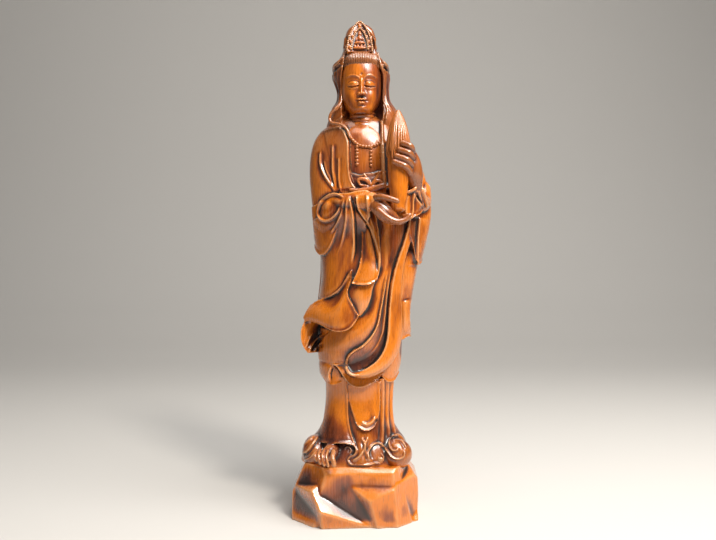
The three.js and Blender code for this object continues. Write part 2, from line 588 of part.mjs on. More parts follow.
function crownSolid() {
  const { width, height, lean, thickness, rim } = crown;
  const flame = new THREE.Shape();
  flame.moveTo(-width / 2, 0);
  flame.quadraticCurveTo(-width / 2, 0.42 * height, -0.28 * width, 0.66 * height);
  flame.lineTo(0, height);
  flame.lineTo(0.28 * width, 0.66 * height);
  flame.quadraticCurveTo(width / 2, 0.42 * height, width / 2, 0);
  const arch = new THREE.Path();
  arch.absarc(0, 0.38 * height, 0.25 * width, 0, Math.PI);
  arch.lineTo(-0.25 * width, 0.06 * height);
  arch.lineTo(0.25 * width, 0.06 * height);
  const border = flame.clone();
  border.holes.push(arch);
  const place = new THREE.Matrix4().makeTranslation(at(...crown.foot));
  place.multiply(new THREE.Matrix4().makeRotationX(Math.PI / 2 - radians(lean))).scale(
    new THREE.Vector3(unit, unit, unit),
  );
  const plate = (shape, front) => {
    const depth = thickness + front;
    const slab = new THREE.ExtrudeGeometry(shape, { depth, bevelEnabled: false, curveSegments: 3 });
    return solid(slab.translate(0, 0, -thickness).applyMatrix4(place));
  };
  const lump = (up, front, halves) => {
    const geometry = new THREE.SphereGeometry(1, 7, 4).scale(...halves).translate(0, up, front);
    return solid(geometry.applyMatrix4(place));
  };
  return join([
    plate(flame, 0),
    plate(border, rim),
    lump(0.15 * height, 0.5, [0.24 * width, 2.2, 2.2]),
    lump(0.31 * height, 0.5, [0.13 * width, 3.6, 2]),
    lump(0.47 * height, 0.6, [0.08 * width, 2.1, 1.8]),
  ]);
}

// Beads round the neckline with three pendants
function necklaceSolid() {
  const r = bead.radius / unit;
  const string = (path, steps) => bar(path.map(([x, z]) => [...onFront(x, z, 0.8), r]), { sides: 4, steps });
  const pendant = ([x, top, end]) => string([[x, top], [x, end]], 1);
  return join([
    string([[-5, 302], [-3, 299], [2, 294.5], [9.4, 293], [16.6, 295], [21.5, 300], [23, 303]], 6),
    ...[[0.8, 293, 278], [11.8, 292, 277], [20, 295, 282]].map(pendant),
  ]);
}

// The sash with its bow at the waist
function sashSolid() {
  return join([
    ridge([[-3, 259], [10, 260], [24, 263]], 2.4, 1.6),
    ridge([[12, 260.5], [8, 266.5], [3, 266], [5, 262.5]], 1.8, 2.2),
    ridge([[7, 272], [9.5, 266], [12.5, 261.5], [18.5, 272]], 1.2, 2),
  ]);
}

// The bare foot, and the robe's trailing hem that lies rolled on the rock
const ground = {
  foot: [[-18, -22, 54, 5.5], [-20, -29, 51.5, 5.6], [-21.5, -35, 49, 4.6]],
  toes: [[-17, -43], [-20.8, -43], [-23.9, -42], [-26.8, -40.5], [-29.4, -38.5]],
  rolls: [
    [[-25, -14, 67, 4], [-34, -13, 63, 6], [-38.5, -12, 56, 6.5], [-37, -13, 49, 6.5], [-30, -16, 45, 5]],
    [[-8, -31, 54, 4], [-3, -34, 51, 4.5], [3, -35, 47, 4.5], [14, -35, 46.5, 4]],
    [[10, -27, 52, 6], [20, -28, 53, 7], [29, -25, 54.5, 8], [35, -17, 54, 8.5], [37, -6, 53, 8]],
  ],
  scrolls: [
    [[10, -34, 53, 1.2], [14, -36, 60, 1.4], [24, -34.5, 55.5, 1.6], [33, -31, 49.5, 1.4],
      [38, -25, 56, 1.2]],
    [[39, -22, 58, 1.2], [31.5, -27, 64, 1.6], [26.5, -32, 60, 1.6], [31, -32, 56, 1.2]],
  ],
};

function groundSolids() {
  const toe = ([x, y], i) =>
    bar([[x * 0.85 - 3, y + 8, 50, 2.4], [x, y + 1, 48.6, i ? 1.9 : 2.7], [x, y, 47.1, i ? 1.6 : 2.3]],
      { sides: 4, steps: 1 });
  return join([
    bar(ground.foot, { flat: 1.3, steps: 2 }),
    ...ground.toes.map(toe),
    ...ground.rolls.map((roll) => bar(roll, { steps: 4 })),
    ...ground.scrolls.map((scroll) => bar(scroll, { sides: 4, steps: 4 })),
  ]);
}

const woodColour = new THREE.MeshStandardMaterial({ color: 0x8a4a1c, roughness: 0.35, metalness: 0 });

function geometryOf(piece) {
  const mesh = piece.getMesh();
  const geometry = new THREE.BufferGeometry();
  geometry.setAttribute("position", new THREE.BufferAttribute(mesh.vertProperties, 3));
  geometry.setIndex(new THREE.BufferAttribute(mesh.triVerts, 1));
  geometry.computeVertexNormals();
  return geometry;
}

// The carving without the pockets that lie sealed between its overlapping forms
function withoutPockets(piece) {
  return piece.decompose().reduce((outer, shell) => (shell.volume() > outer.volume() ? shell : outer));
}

const carving = withoutPockets(
  join([
    rockSolid(),
    robeSolid(),
    sleeveTops(),
    handSolids(),
    bundleSolid(),
    hoodSolid(),
    collarSolid(),
    headSolid(),
    hairSolid(),
    crownSolid(),
    necklaceSolid(),
    sashSolid(),
    groundSolids(),
  ]),
);
const guanyin = new THREE.Mesh(geometryOf(carving), woodColour);
guanyin.name = "guanyin_figure";

const group = new THREE.Group();
group.add(guanyin);
export default group;
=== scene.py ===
import math
import bmesh
import bpy
import numpy as np
from mathutils import Matrix, Vector


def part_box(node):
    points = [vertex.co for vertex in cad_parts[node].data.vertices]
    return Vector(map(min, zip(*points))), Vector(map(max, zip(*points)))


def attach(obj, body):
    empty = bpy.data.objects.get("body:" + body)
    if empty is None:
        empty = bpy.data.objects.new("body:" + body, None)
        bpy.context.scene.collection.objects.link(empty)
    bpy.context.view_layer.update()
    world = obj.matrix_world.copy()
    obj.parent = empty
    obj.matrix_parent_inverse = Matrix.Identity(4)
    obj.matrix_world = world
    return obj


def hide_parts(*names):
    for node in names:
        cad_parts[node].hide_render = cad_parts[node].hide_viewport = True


# A standing Guanyin, carved with its rock from one block of polished hardwood
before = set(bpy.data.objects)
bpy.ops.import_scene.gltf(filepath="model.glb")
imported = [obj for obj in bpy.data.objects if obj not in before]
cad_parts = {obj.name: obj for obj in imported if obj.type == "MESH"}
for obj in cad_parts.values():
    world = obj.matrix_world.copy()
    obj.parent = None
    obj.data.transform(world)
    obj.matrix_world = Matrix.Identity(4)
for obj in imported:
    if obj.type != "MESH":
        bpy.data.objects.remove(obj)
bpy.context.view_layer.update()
(_, _, underside), (_, _, tip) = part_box("guanyin_figure")
canonHeight = 397.34                             # the carving is laid out in units, one to a millimetre
unit = (tip - underside) / canonHeight           # metres in a unit
rng = np.random.default_rng(7)


# Numbers

def smoothStep(value, start, end):
    share = np.clip((value - start) / (end - start), 0, 1)
    return share * share * (3 - 2 * share)


def bump(value, width):
    return np.exp(-(value / width) ** 2)


def mix(a, b, share):
    return a + (b - a) * share


def smoothTable(rows):
    # rows of numbers as functions of their first column, smooth between the rows
    table = np.array(rows, float)
    places, values = table[:, 0], table[:, 1:]
    after = np.minimum(np.arange(len(places)) + 1, len(places) - 1)
    before = np.maximum(np.arange(len(places)) - 1, 0)
    slopes = (values[after] - values[before]) / (places[after] - places[before])[:, None]

    def at(where):
        where = np.clip(np.asarray(where, float), places[0], places[-1])
        i = np.clip(np.searchsorted(places, where) - 1, 0, len(places) - 2)
        span = (places[i + 1] - places[i])[..., None]
        u = (where - places[i])[..., None] / span
        rise = (values[i + 1] - values[i]) * u * u * (3 - 2 * u)
        return values[i] + rise + span * (slopes[i] * u * (1 - u) ** 2 + slopes[i + 1] * u * u * (u - 1))

    return at


def spread(values):
    table = smoothTable([[i / (len(values) - 1), value] for i, value in enumerate(values)])
    return lambda share: table(share)[..., 0]


def curveThrough(points):
    # an even run through points by their share of the whole length
    points = np.array(points, float)
    steps = np.linalg.norm(np.diff(points, axis=0), axis=1)
    reached = np.concatenate([[0], np.cumsum(steps)])
    table = smoothTable(np.column_stack([reached / reached[-1], points]))
    return table, reached[-1]


def placed(name, data):
    piece = bpy.data.objects.new(name, data)
    bpy.context.scene.collection.objects.link(piece)
    return piece


def workedMesh(piece):
    # the plain mesh that a piece's modifiers or node tree give
    bpy.context.view_layer.update()
    return bpy.data.meshes.new_from_object(piece.evaluated_get(bpy.context.evaluated_depsgraph_get()))


def vectorsOf(items, name):
    values = np.empty(len(items) * 3)
    items.foreach_get(name, values)
    return values.reshape(-1, 3)


# Clay: closed shapes gathered in units, which a remesh then joins into one

class Clay:
    def __init__(self):
        self.points, self.faces, self.size = [], [], 0

    def add(self, points, faces):
        self.points.append(np.asarray(points, float).reshape(-1, 3))
        self.faces += [tuple(corner + self.size for corner in face) for face in faces]
        self.size += len(self.points[-1])
        return self

    def loft(self, rings, thereAndBack=False):
        # a skin over closed rings, from the lowest to the highest, which run counterclockwise from above
        rings = np.asarray(rings, float)
        count, around = rings.shape[:2]
        index = np.arange(count * around).reshape(count, around)
        beside = np.roll(index, -1, axis=1)
        faces = np.stack([index[:-1], beside[:-1], beside[1:], index[1:]], axis=-1).reshape(-1, 4).tolist()
        points = rings.reshape(-1, 3)
        if thereAndBack:
            # a slab's ends are closed by strips from each point to the one across
            i = np.arange(around // 2 - 1)
            across = around - 1 - i
            foot = np.stack([i, across, across - 1, i + 1], axis=1)
            top = np.stack([i, i + 1, across - 1, across], axis=1) + (count - 1) * around
            faces += foot.tolist() + top.tolist()
        else:
            points = np.vstack([points, rings[0].mean(axis=0), rings[-1].mean(axis=0)])
            foot, top = count * around, count * around + 1
            faces += [(foot, b, a) for a, b in zip(index[0], beside[0])]
            faces += [(top, a, b) for a, b in zip(index[-1], beside[-1])]
        return self.add(points, faces)

    def ball(self, centre, halves, columns=24, levels=14):
        turns = np.linspace(0, 2 * np.pi, columns, endpoint=False)
        tilts = np.linspace(-np.pi / 2, np.pi / 2, levels + 1)[1:-1, None]
        ring = np.stack([np.cos(tilts) * np.cos(turns), np.cos(tilts) * np.sin(turns),
                         np.sin(tilts) * np.ones(columns)], axis=-1)
        return self.loft(np.array(centre) + ring * np.array(halves))

    def bar(self, points, flat=1.0, sides=14, spacing=1.0):
        # a bar with rounded ends through [x, y, z, radius]
        curve, length = curveThrough([point[:3] for point in points])
        steps = max(4, int(length / spacing))
        shares = np.linspace(0, 1, steps + 1)
        middle, radius = curve(shares), spread([point[3] for point in points])(shares)
        along = np.gradient(middle, axis=0)
        along /= np.linalg.norm(along, axis=1)[:, None]
        turns = np.linspace(0, 2 * np.pi, sides, endpoint=False)[:, None]
        side = np.cross(along[0], [0, 1, 0.01])
        rings = []
        for k in range(steps + 1):
            side = side - np.dot(side, along[k]) * along[k]
            side = side / np.linalg.norm(side)
            circle = np.cos(turns) * side * flat + np.sin(turns) * np.cross(along[k], side)
            caps = {0: [(0.35, -0.95), (0.75, -0.65), (1, 0)], steps: [(1, 0), (0.75, 0.65), (0.35, 0.95)]}
            for share, push in caps.get(k, [(1, 0)]):
                rings.append(middle[k] + radius[k] * (push * along[k] + share * circle))
        return self.loft(rings)

    def object(self, name):
        mesh = bpy.data.meshes.new(name)
        mesh.from_pydata((np.vstack(self.points) * unit).tolist(), [], self.faces)
        mesh.validate()
        return placed(name, mesh)


def settle(piece):
    mesh = workedMesh(piece)
    piece.modifiers.clear()
    piece.data = mesh


def joined(clay, name, voxel, smoothing=3, relief=None, triangles=190000):
    # remesh the clay into one skin, soften it as sanding would, cut its relief and thin its faces
    piece = clay.object(name)
    remesh = piece.modifiers.new("join", "REMESH")
    remesh.mode = "VOXEL"
    remesh.voxel_size = voxel * unit
    soften = piece.modifiers.new("soften", "SMOOTH")
    soften.factor = 0.5
    soften.iterations = smoothing
    settle(piece)
    mesh = piece.data
    if relief:
        points = relief(vectorsOf(mesh.vertices, "co") / unit, vectorsOf(mesh.vertex_normals, "vector"))
        mesh.vertices.foreach_set("co", (points * unit).ravel())
        mesh.update()
    count = 2 * len(mesh.polygons)
    if count > triangles:
        thin = piece.modifiers.new("thin", "DECIMATE")
        thin.ratio = triangles / count
        settle(piece)
    print(f"{name}: {count} triangles joined, {len(piece.data.polygons)} faces kept")
    return piece


def markHollows(mesh, steps=(("hollowFine", 12), ("hollowBroad", 70))):
    # how far each point lies below (over 0) or above its surroundings, in units, once they are softened
    edges = np.empty(len(mesh.edges) * 2, int)
    mesh.edges.foreach_get("vertices", edges)
    ends, others = np.concatenate([edges[::2], edges[1::2]]), np.concatenate([edges[1::2], edges[::2]])
    size = len(mesh.vertices)
    count = np.maximum(np.bincount(ends, minlength=size), 1)
    points, normals = vectorsOf(mesh.vertices, "co") / unit, vectorsOf(mesh.vertex_normals, "vector")
    softened, done = points, 0
    for name, step in steps:
        for _ in range(step - done):
            softened = np.stack([np.bincount(ends, softened[others, k], size) / count for k in range(3)],
                                axis=1)
        done = step
        depths = ((softened - points) * normals).sum(axis=1)
        attribute = mesh.attributes.new(name, "FLOAT", "POINT")
        attribute.data.foreach_set("value", depths.astype(np.float32))


def finishPiece(piece, material):
    piece.data.materials.clear()
    piece.data.materials.append(material)
    piece.data.shade_smooth()
    # the depths of hollows and edges, which the wood paints as shade in hollows and as highlight on edges
    markHollows(piece.data)
    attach(piece, "root")
    return piece


# Forms: upright bodies whose level sections are ellipses, from rows of height, left, right, front and back

def uprightForm(rows):
    table = smoothTable(rows)

    def form(z):
        left, right, front, back = np.moveaxis(table(z), -1, 0)
        return (left + right) / 2, (front + back) / 2, (right - left) / 2, (back - front) / 2

    return form


def around(form, turn, z, off=0.0):
    x, y, halfWidth, halfDepth = form(z)
    z = z + np.zeros(np.broadcast(turn, z, off).shape)
    return np.stack([x + (halfWidth + off) * np.sin(turn), y - (halfDepth + off) * np.cos(turn), z], axis=-1)


def turnOf(form, x, z, off=0.0):
    middle, _, halfWidth, _ = form(z)
    return np.arcsin(np.clip((x - middle) / (halfWidth + off), -1, 1))


robeForm = uprightForm([
    [34, -36, 38, -30, 31],
    [48, -37, 39, -29, 31],
    [56, -33, 36, -28, 29],
    [66, -28, 31, -25, 26],
    [78, -26, 30, -24, 25],
    [92, -24.5, 29.5, -23, 24],
    [106, -25, 30, -23.5, 24],
    [120, -27, 33, -25, 25],
    [136, -28, 35, -26, 25],
    [154, -28, 38, -27, 26],
    [172, -27.5, 39, -27.5, 26],
    [192, -26.5, 42.5, -27, 26],
    [208, -27.5, 46, -26, 25],
    [228, -31, 51, -25, 24],
    [244, -35, 54, -24, 23],
    [260, -37, 53, -23, 22.5],
    [275, -38, 51, -21.5, 22],
    [290, -37, 47, -20, 21],
    [301, -34, 43.5, -18, 19.5],
    [309, -28.5, 39, -15.5, 17.5],
    [315, -20, 32, -12.5, 15.5],
    [320, -9, 19, -8.5, 12],
])


# Cloth: a closed slab between a left and a right edge, which run downwards through [x, z] seen from the
# front. Its top and hem run from the one edge to the other, straight where no points are given for them. Its
# lifts are how far it stands off the robe's form, in rows from top to bottom, each from left to right. Cloth
# that swings clear of the form has depths in y instead, and is thick units through, towards the form's middle
# or straight back. Its folds stand side by side, its hollow is the share of its height that is scooped out
# under the hem, and its lips are the edges that are rolled.

clothSettings = {
    "spacing": 1.0, "inside": -4.0, "lip": 0.7, "lipWidth": 1.1, "behindLip": 2.6, "foldLow": 0.4,
    "scoop": (5.44, 1.7), "scoopRows": 6,
}


def drape(clay, left, right, top=(), hem=(), lifts=None, depths=None, thick=7, straight=False, folds=0,
          foldDepth=1.6, hollow=0, lips=""):
    settings = clothSettings
    values = lifts or depths
    leftEdge, leftLength = curveThrough(left)
    rightEdge, rightLength = curveThrough(right)
    topEdge, topLength = curveThrough([left[0], *top, right[0]])
    hemEdge, hemLength = curveThrough([left[-1], *hem, right[-1]])
    length, width = max(leftLength, rightLength), max(topLength, hemLength)
    spacing = settings["spacing"] * 1
    u = np.linspace(0, 1, max(6, int(width / spacing)) + 1)
    rows = max(8, int(length / spacing))
    valueRows = np.stack([spread(row)(u) for row in values])
    valueAlong = smoothTable(np.column_stack([np.linspace(0, 1, len(values)), valueRows]))

    def flat(point, lift):
        # an edge's place as turn and height on the form, or as it is where the cloth has depths
        if depths:
            return np.asarray(point)
        return np.stack([turnOf(robeForm, point[..., 0], point[..., 1], lift), point[..., 1]], axis=-1)

    topPlaces, hemPlaces = flat(topEdge(u), valueAlong(0)), flat(hemEdge(u), valueAlong(1))

    def ring(t, thinner=0.0):
        value = valueAlong(t)
        share = u[:, None]
        corners = mix(mix(topPlaces[0], topPlaces[-1], share), mix(hemPlaces[0], hemPlaces[-1], share), t)
        sides = mix(flat(leftEdge(t), value[0]), flat(rightEdge(t), value[-1]), share)
        place = mix(topPlaces, hemPlaces, t) + sides - corners
        raised = np.zeros(len(u))
        if folds:
            raised += foldDepth * (np.abs(np.sin(np.pi * folds * u)) - settings["foldLow"])
        edges = {"top": t * length, "hem": (1 - t) * length, "left": u * width, "right": (1 - u) * width}
        for name in lips.split():
            away = edges[name]
            rolled = bump(away, settings["lipWidth"]) - 0.5 * bump(away - settings["behindLip"], 1.3)
            raised += settings["lip"] * rolled
        if lifts:
            inside = settings["inside"]
            front = around(robeForm, place[:, 0], place[:, 1],
                           np.maximum(value + raised - thinner, inside + 0.5))
            return np.vstack([front, around(robeForm, place[:, 0], place[:, 1], inside)[::-1]])
        front = np.stack([place[:, 0], value, place[:, 1]], axis=-1)
        middle, depth, _, _ = robeForm(place[:, 1])
        inwards = np.stack([middle - front[:, 0], depth - front[:, 1], 0 * middle], axis=-1)
        inwards /= np.linalg.norm(inwards, axis=1)[:, None]
        if straight:
            inwards[:] = (0, 1, 0)
        return np.vstack([front + inwards * (thinner - raised)[:, None], (front + inwards * thick)[::-1]])

    under = [ring(t, mix(*settings["scoop"], (t - 1 + hollow) / hollow))
             for t in np.linspace(1 - hollow, 1, settings["scoopRows"])] if hollow else []
    return clay.loft(under + [ring(t) for t in np.linspace(1, 0, rows + 1)], thereAndBack=True)


# Lines cut in the front: [kind, high side or width, size, path through [x, z], how it fades at its ends].
# A ridge stands up along its path, or is a groove where its size is below 0. A step has one side high and the
# other low, with a light rim on the high side and a groove at the foot of the low one.

lineSettings = {
    "ridge": {"height": 1.4, "width": 1.0, "valley": 0.7, "valleyWidth": 2.8},
    "step": {"rise": 0.7, "drop": 0.9, "reach": 4.5, "rim": 0.45, "groove": 0.9},
    "runSpacing": 2.0, "edge": 0.45, "reach": 10, "fade": (0.12, 0.12),
}


def lineDistance(points, path):
    # the distance of each point to a path in x and z, over 0 on its right going down, and the share along it
    curve, length = curveThrough(path)
    run = curve(np.linspace(0, 1, max(4, int(length / lineSettings["runSpacing"]))))
    best = np.full(len(points), np.inf)
    signed, share = np.zeros(len(points)), np.zeros(len(points))
    for k, (start, end) in enumerate(zip(run[:-1], run[1:])):
        along = end - start
        t = np.clip(((points - start) @ along) / (along @ along), 0, 1)
        apart = points - start - t[:, None] * along
        distance = np.linalg.norm(apart, axis=1)
        side = np.sign(apart[:, 1] * along[0] - apart[:, 0] * along[1])
        nearer = distance < best
        best[nearer] = distance[nearer]
        signed[nearer] = (distance * side)[nearer]
        share[nearer] = (k + t[nearer]) / (len(run) - 1)
    return signed, share


def stepShape(distance):
    settings, edge = lineSettings["step"], lineSettings["edge"]
    decay = np.exp(-np.abs(distance) / settings["reach"])
    shape = mix(-settings["drop"] * decay, settings["rise"] * decay, smoothStep(distance, -edge, edge))
    shape += settings["rim"] * bump(distance - 0.7, 0.75)
    return shape - settings["groove"] * bump(distance + 0.65, 0.65)


def ridgeShape(distance, width):
    settings = lineSettings["ridge"]
    crest = settings["height"] * bump(distance, settings["width"] * width)
    return crest - settings["valley"] * bump(distance, settings["valleyWidth"] * width)


def withLines(lines):
    # a relief that cuts these lines
    def cut(points, normals):
        moved = np.zeros(len(points))
        front = smoothStep(-normals[:, 1], 0.0, 0.4)
        flat = points[:, ::2]
        for kind, side, size, path, *ends in lines:
            corners, reach = np.array(path, float), lineSettings["reach"]
            near = np.all((flat > corners.min(axis=0) - reach) & (flat < corners.max(axis=0) + reach), axis=1)
            near &= (front > 0) & (points[:, 1] < reach)
            distance, share = lineDistance(flat[near], path)
            fadeIn, fadeOut = ends[0] if ends else lineSettings["fade"]
            strength = size * np.ones(len(distance))
            if fadeIn:
                strength *= smoothStep(share, 0, fadeIn)
            if fadeOut:
                strength *= 1 - smoothStep(share, 1 - fadeOut, 1)
            if kind == "step":
                shape = stepShape(distance if side == "right" else -distance)
            else:
                shape = ridgeShape(distance, side)
            moved[near] += shape * strength * front[near]
        return points + normals * moved[:, None]

    return cut


# The rock: boulders with flat facets, each facet given by its turn from the front, its tilt upwards and its
# distance from the middle of the underside

rock = {
    "height": 44, "block": 100, "voxel": 0.8, "softening": 5, "triangles": 60000,
    # facets that bound every boulder, and then those of each boulder
    "bounds": [
        [-90, 0, 50.5], [-90, 24, 54.5], [-45, 2, 53.5], [-135, 4, 46.5], [180, 3, 42], [135, 2, 46],
        [90, 0, 49], [90, 40, 58], [45, 2, 53], [0, 90, 44],
    ],
    "boulders": {
        "wall": [[-1, 4, 42.3], [-2, 42, 56.3], [-46, 12, 51.5], [46, 6, 52.5], [72, 12, 50]],
        "wedge": [[23, 36, 35.6], [5, -11, 42.6], [-57, -10, 46], [-60, 60, 48.5]],
        "ledge": [[-1, 34, 50.6], [14, -2, 47.4], [-34, -14, 27], [50, 2, 51], [30, 70, 47.6]],
    },
    "dents": 0.35,
}


def boulder(clay, facets):
    stone = bmesh.new()
    block, half = rock["block"], rock["height"] / 2
    size = Matrix.Diagonal((block, block, half, 1))
    bmesh.ops.create_cube(stone, size=2, matrix=Matrix.Translation((0, 0, half)) @ size)
    for turn, tilt, distance in facets:
        turn, tilt = math.radians(turn), math.radians(tilt)
        outwards = Vector((math.sin(turn) * math.cos(tilt), -math.cos(turn) * math.cos(tilt), math.sin(tilt)))
        cut = bmesh.ops.bisect_plane(stone, geom=stone.verts[:] + stone.edges[:] + stone.faces[:],
                                     plane_co=outwards * distance, plane_no=outwards, clear_outer=True)
        edges = [part for part in cut["geom_cut"] if isinstance(part, bmesh.types.BMEdge)]
        if edges:
            bmesh.ops.holes_fill(stone, edges=edges)
    bmesh.ops.recalc_face_normals(stone, faces=stone.faces)
    stone.verts.index_update()
    clay.add([tuple(corner.co) for corner in stone.verts],
             [tuple(corner.index for corner in face.verts) for face in stone.faces])
    stone.free()


def dented(points, normals):
    # broad dents of the gouge, none of them below the underside
    x, y, z = points.T
    wave = np.sin(x / 7 + 1.3 * np.sin(z / 9)) * np.sin(z / 6 + y / 11)
    moved = points + normals * (rock["dents"] * wave * smoothStep(z, 1, 6))[:, None]
    moved[:, 2] = np.maximum(moved[:, 2], 0)
    return moved


def makeRock():
    clay = Clay()
    for facets in rock["boulders"].values():
        boulder(clay, facets + rock["bounds"])
    return joined(clay, "rock", rock["voxel"], rock["softening"], dented, rock["triangles"])


# The skirt: the cloth over the leg, the middle drape, the pouch that hangs over it and the pleats beside it

skirt = {
    "voxel": 0.55,
    "drapes": [
        {"left": [[-24, 112], [-24.7, 92], [-26, 79], [-28.7, 66.5], [-30.5, 59.5]],
         "right": [[-8, 112], [-6.5, 93], [-6, 80], [-4, 70], [0, 59]],
         "hem": [[-21, 61], [-11, 61.8], [-4, 61]],
         "lifts": [[1.5, 3, 3], [1, 3, 3], [2, 5, 4], [5, 9, 6]], "hollow": 0.14, "lips": "hem right"},
        {"left": [[-8, 108], [-7, 78], [-4, 66], [-1, 57], [-6, 47]],
         "right": [[20, 110], [19, 80], [16, 62], [11, 56], [14, 46]],
         "lifts": [[1, 1.5, 1], [1.5, 2, 1.5], [2, 5, 3], [7, 9, 7]]},
        {"left": [[-6.5, 108], [-5, 92], [-1, 79]], "right": [[19, 108], [19, 90], [17.5, 79]],
         "hem": [[1.5, 74.5], [5.5, 71.5], [9.5, 71.2], [14, 73.5]],
         "lifts": [[2, 2.5, 2.5], [2.5, 3, 4.5], [4, 7, 6]], "hollow": 0.12, "lips": "hem right"},
        {"left": [[19, 110], [19.5, 86], [17, 58]], "right": [[31, 112], [30, 84], [34, 58]],
         "lifts": [[2.5, 2.5, 2], [2.5, 2.5, 2.5], [3, 3.5, 4]], "folds": 3, "foldDepth": 2.2},
    ],
    "core": (34, 140, 1.5, 180), "apronRows": (42, 72.1, 1.5, 180), "backMost": 3, "triangles": 165000,
    "foot": [[-16, -22, 56, 5.5], [-18.5, -29, 55, 5.6], [-22, -34, 53.5, 4.8]],
    # toes from their roots to their tips, the small one first
    "toes": [
        [[-29.6, -34, 56.5], [-31.4, -39.5, 54.8], [-30, -41.5, 51]],
        [[-27, -35, 57.5], [-28.6, -41, 54.8], [-27, -43.5, 49.3]],
        [[-24.2, -36, 57.8], [-25.6, -42, 54.6], [-23.9, -44.2, 48]],
        [[-21.5, -37, 57.2], [-22.6, -42, 54], [-20.9, -44.5, 47.6]],
        [[-17.2, -37, 56.8], [-17.6, -42, 53.5], [-16.4, -44.5, 48.4]],
    ],
    "toe": 1.15, "bigToe": 1.9,
    # the cloth that spreads over the rock, as a form, and its rolls as middles and half sizes
    "apron": [[42, -45, 44, -36, 38], [47, -43.5, 43.5, -35.5, 37], [53, -40, 42, -33, 36],
              [59, -36, 39.5, -30, 33], [65, -31, 35, -27.5, 29], [72, -27.5, 31, -25, 26]],
    "rolls": [[(-32.5, -12, 51), (10.5, 15, 13)], [(32, -21, 51), (12.5, 11.5, 12)],
              [(18.8, -37.5, 50.5), (2.3, 2, 2.3)]],
    "lines": [
        ["ridge", 0.7, 1.3, [[9.5, 49], [10, 56], [14, 60.5], [19.5, 60], [24, 55.5], [28, 51], [33, 49.5],
                             [37, 51.5], [38, 56]], (0.05, 0.05)],
        ["ridge", 0.7, 1.2, [[39.5, 57], [36, 62], [31.5, 64.5], [27, 63], [26, 59], [28.5, 56], [32, 56.5],
                             [33, 59]], (0.05, 0.1)],
        ["ridge", 0.7, 1.0, [[-2, 60.5], [0.5, 57], [-1, 53.5], [-5.5, 51], [-6, 48.5], [-3, 46.6], [4, 46],
                             [14, 46.8], [20, 47], [21.5, 50.5], [19, 54]], (0.05, 0.1)],
        ["ridge", 0.6, 0.8, [[-9, 57], [-6.5, 59], [-3.5, 56.5], [-5, 53.5]], (0.1, 0.1)],
        ["ridge", 1.2, 1.2, [[4, 78], [8, 75.6], [12.5, 77.5], [15.5, 82]], (0.2, 0.2)],
        ["ridge", 1.0, 1.2, [[4, 67], [7, 60], [3, 53], [-3, 49]], (0.2, 0.1)],
        ["ridge", 1.0, 1.2, [[10, 67], [7, 60], [9, 53], [11, 48]], (0.2, 0.1)],
        ["step", "left", 0.9, [[-29, 64], [-34, 58], [-38, 53], [-43, 50]], (0.2, 0.1)],
        ["ridge", 0.7, 0.9, [[-31, 66], [-37, 61], [-42, 56]], (0.2, 0.1)],
        ["ridge", 0.7, 0.8, [[-32, 54], [-36, 49], [-42, 45.5]], (0.2, 0.1)],
    ],
}


def formLoft(clay, form, low, high, rise, columns, relief=None):
    # a form as clay, with rows a rise apart
    turns = np.linspace(0, 2 * np.pi, columns, endpoint=False)
    return clay.loft([around(form, turns, np.full(columns, z), relief(turns, z) if relief else 0.0)
                      for z in np.arange(low, high, rise)])


back = {"start": 106, "end": 254, "folds": 5, "foldDepth": 4, "hem": 124, "scallop": 11, "lip": 4.5,
        "pleats": 12, "pleatDepth": 2.6}


def backRelief(turns, z):
    # down the back the mantle hangs in long folds to a scalloped hem, over the pleats of the skirt
    degrees = np.degrees(turns) % 360
    inside = smoothStep(degrees, back["start"] - 14, back["start"] + 8)
    inside = inside * (1 - smoothStep(degrees, back["end"] - 8, back["end"] + 14))
    share = (degrees - back["start"]) / (back["end"] - back["start"])
    crest = np.abs(np.sin(np.pi * (back["folds"] * share + 0.3 * np.sin(z / 40))))
    hang = 1 - smoothStep(z, back["hem"], 310)
    depth = back["foldDepth"] * crest * (0.35 + 0.65 * hang) * (1 - smoothStep(z, 292, 314))
    mantle = back["lip"] * hang + depth
    pleat = back["pleatDepth"] * np.abs(np.sin(np.pi * back["pleats"] * share))
    edge = back["hem"] - back["scallop"] * crest
    return inside * mix(pleat, mantle, smoothStep(z, edge - 1.5, edge + 0.5))


def skirtBack(turns, z):
    return np.clip(backRelief(turns, z), 0, skirt["backMost"])


def makeSkirt():
    clay = Clay()
    formLoft(clay, robeForm, *skirt["core"], skirtBack)
    for cloth in skirt["drapes"]:
        drape(clay, **cloth)
    formLoft(clay, uprightForm(skirt["apron"]), *skirt["apronRows"])
    clay.bar(skirt["foot"], flat=1.2)
    *small, big = skirt["toes"]
    for path, radius in [(path, skirt["toe"]) for path in small] + [(big, skirt["bigToe"])]:
        clay.bar([[*point, radius] for point in path], spacing=0.5)
    for centre, halves in skirt["rolls"]:
        clay.ball(centre, halves)
    return joined(clay, "skirt", skirt["voxel"], 3, withLines(skirt["lines"]), skirt["triangles"])


# The robe

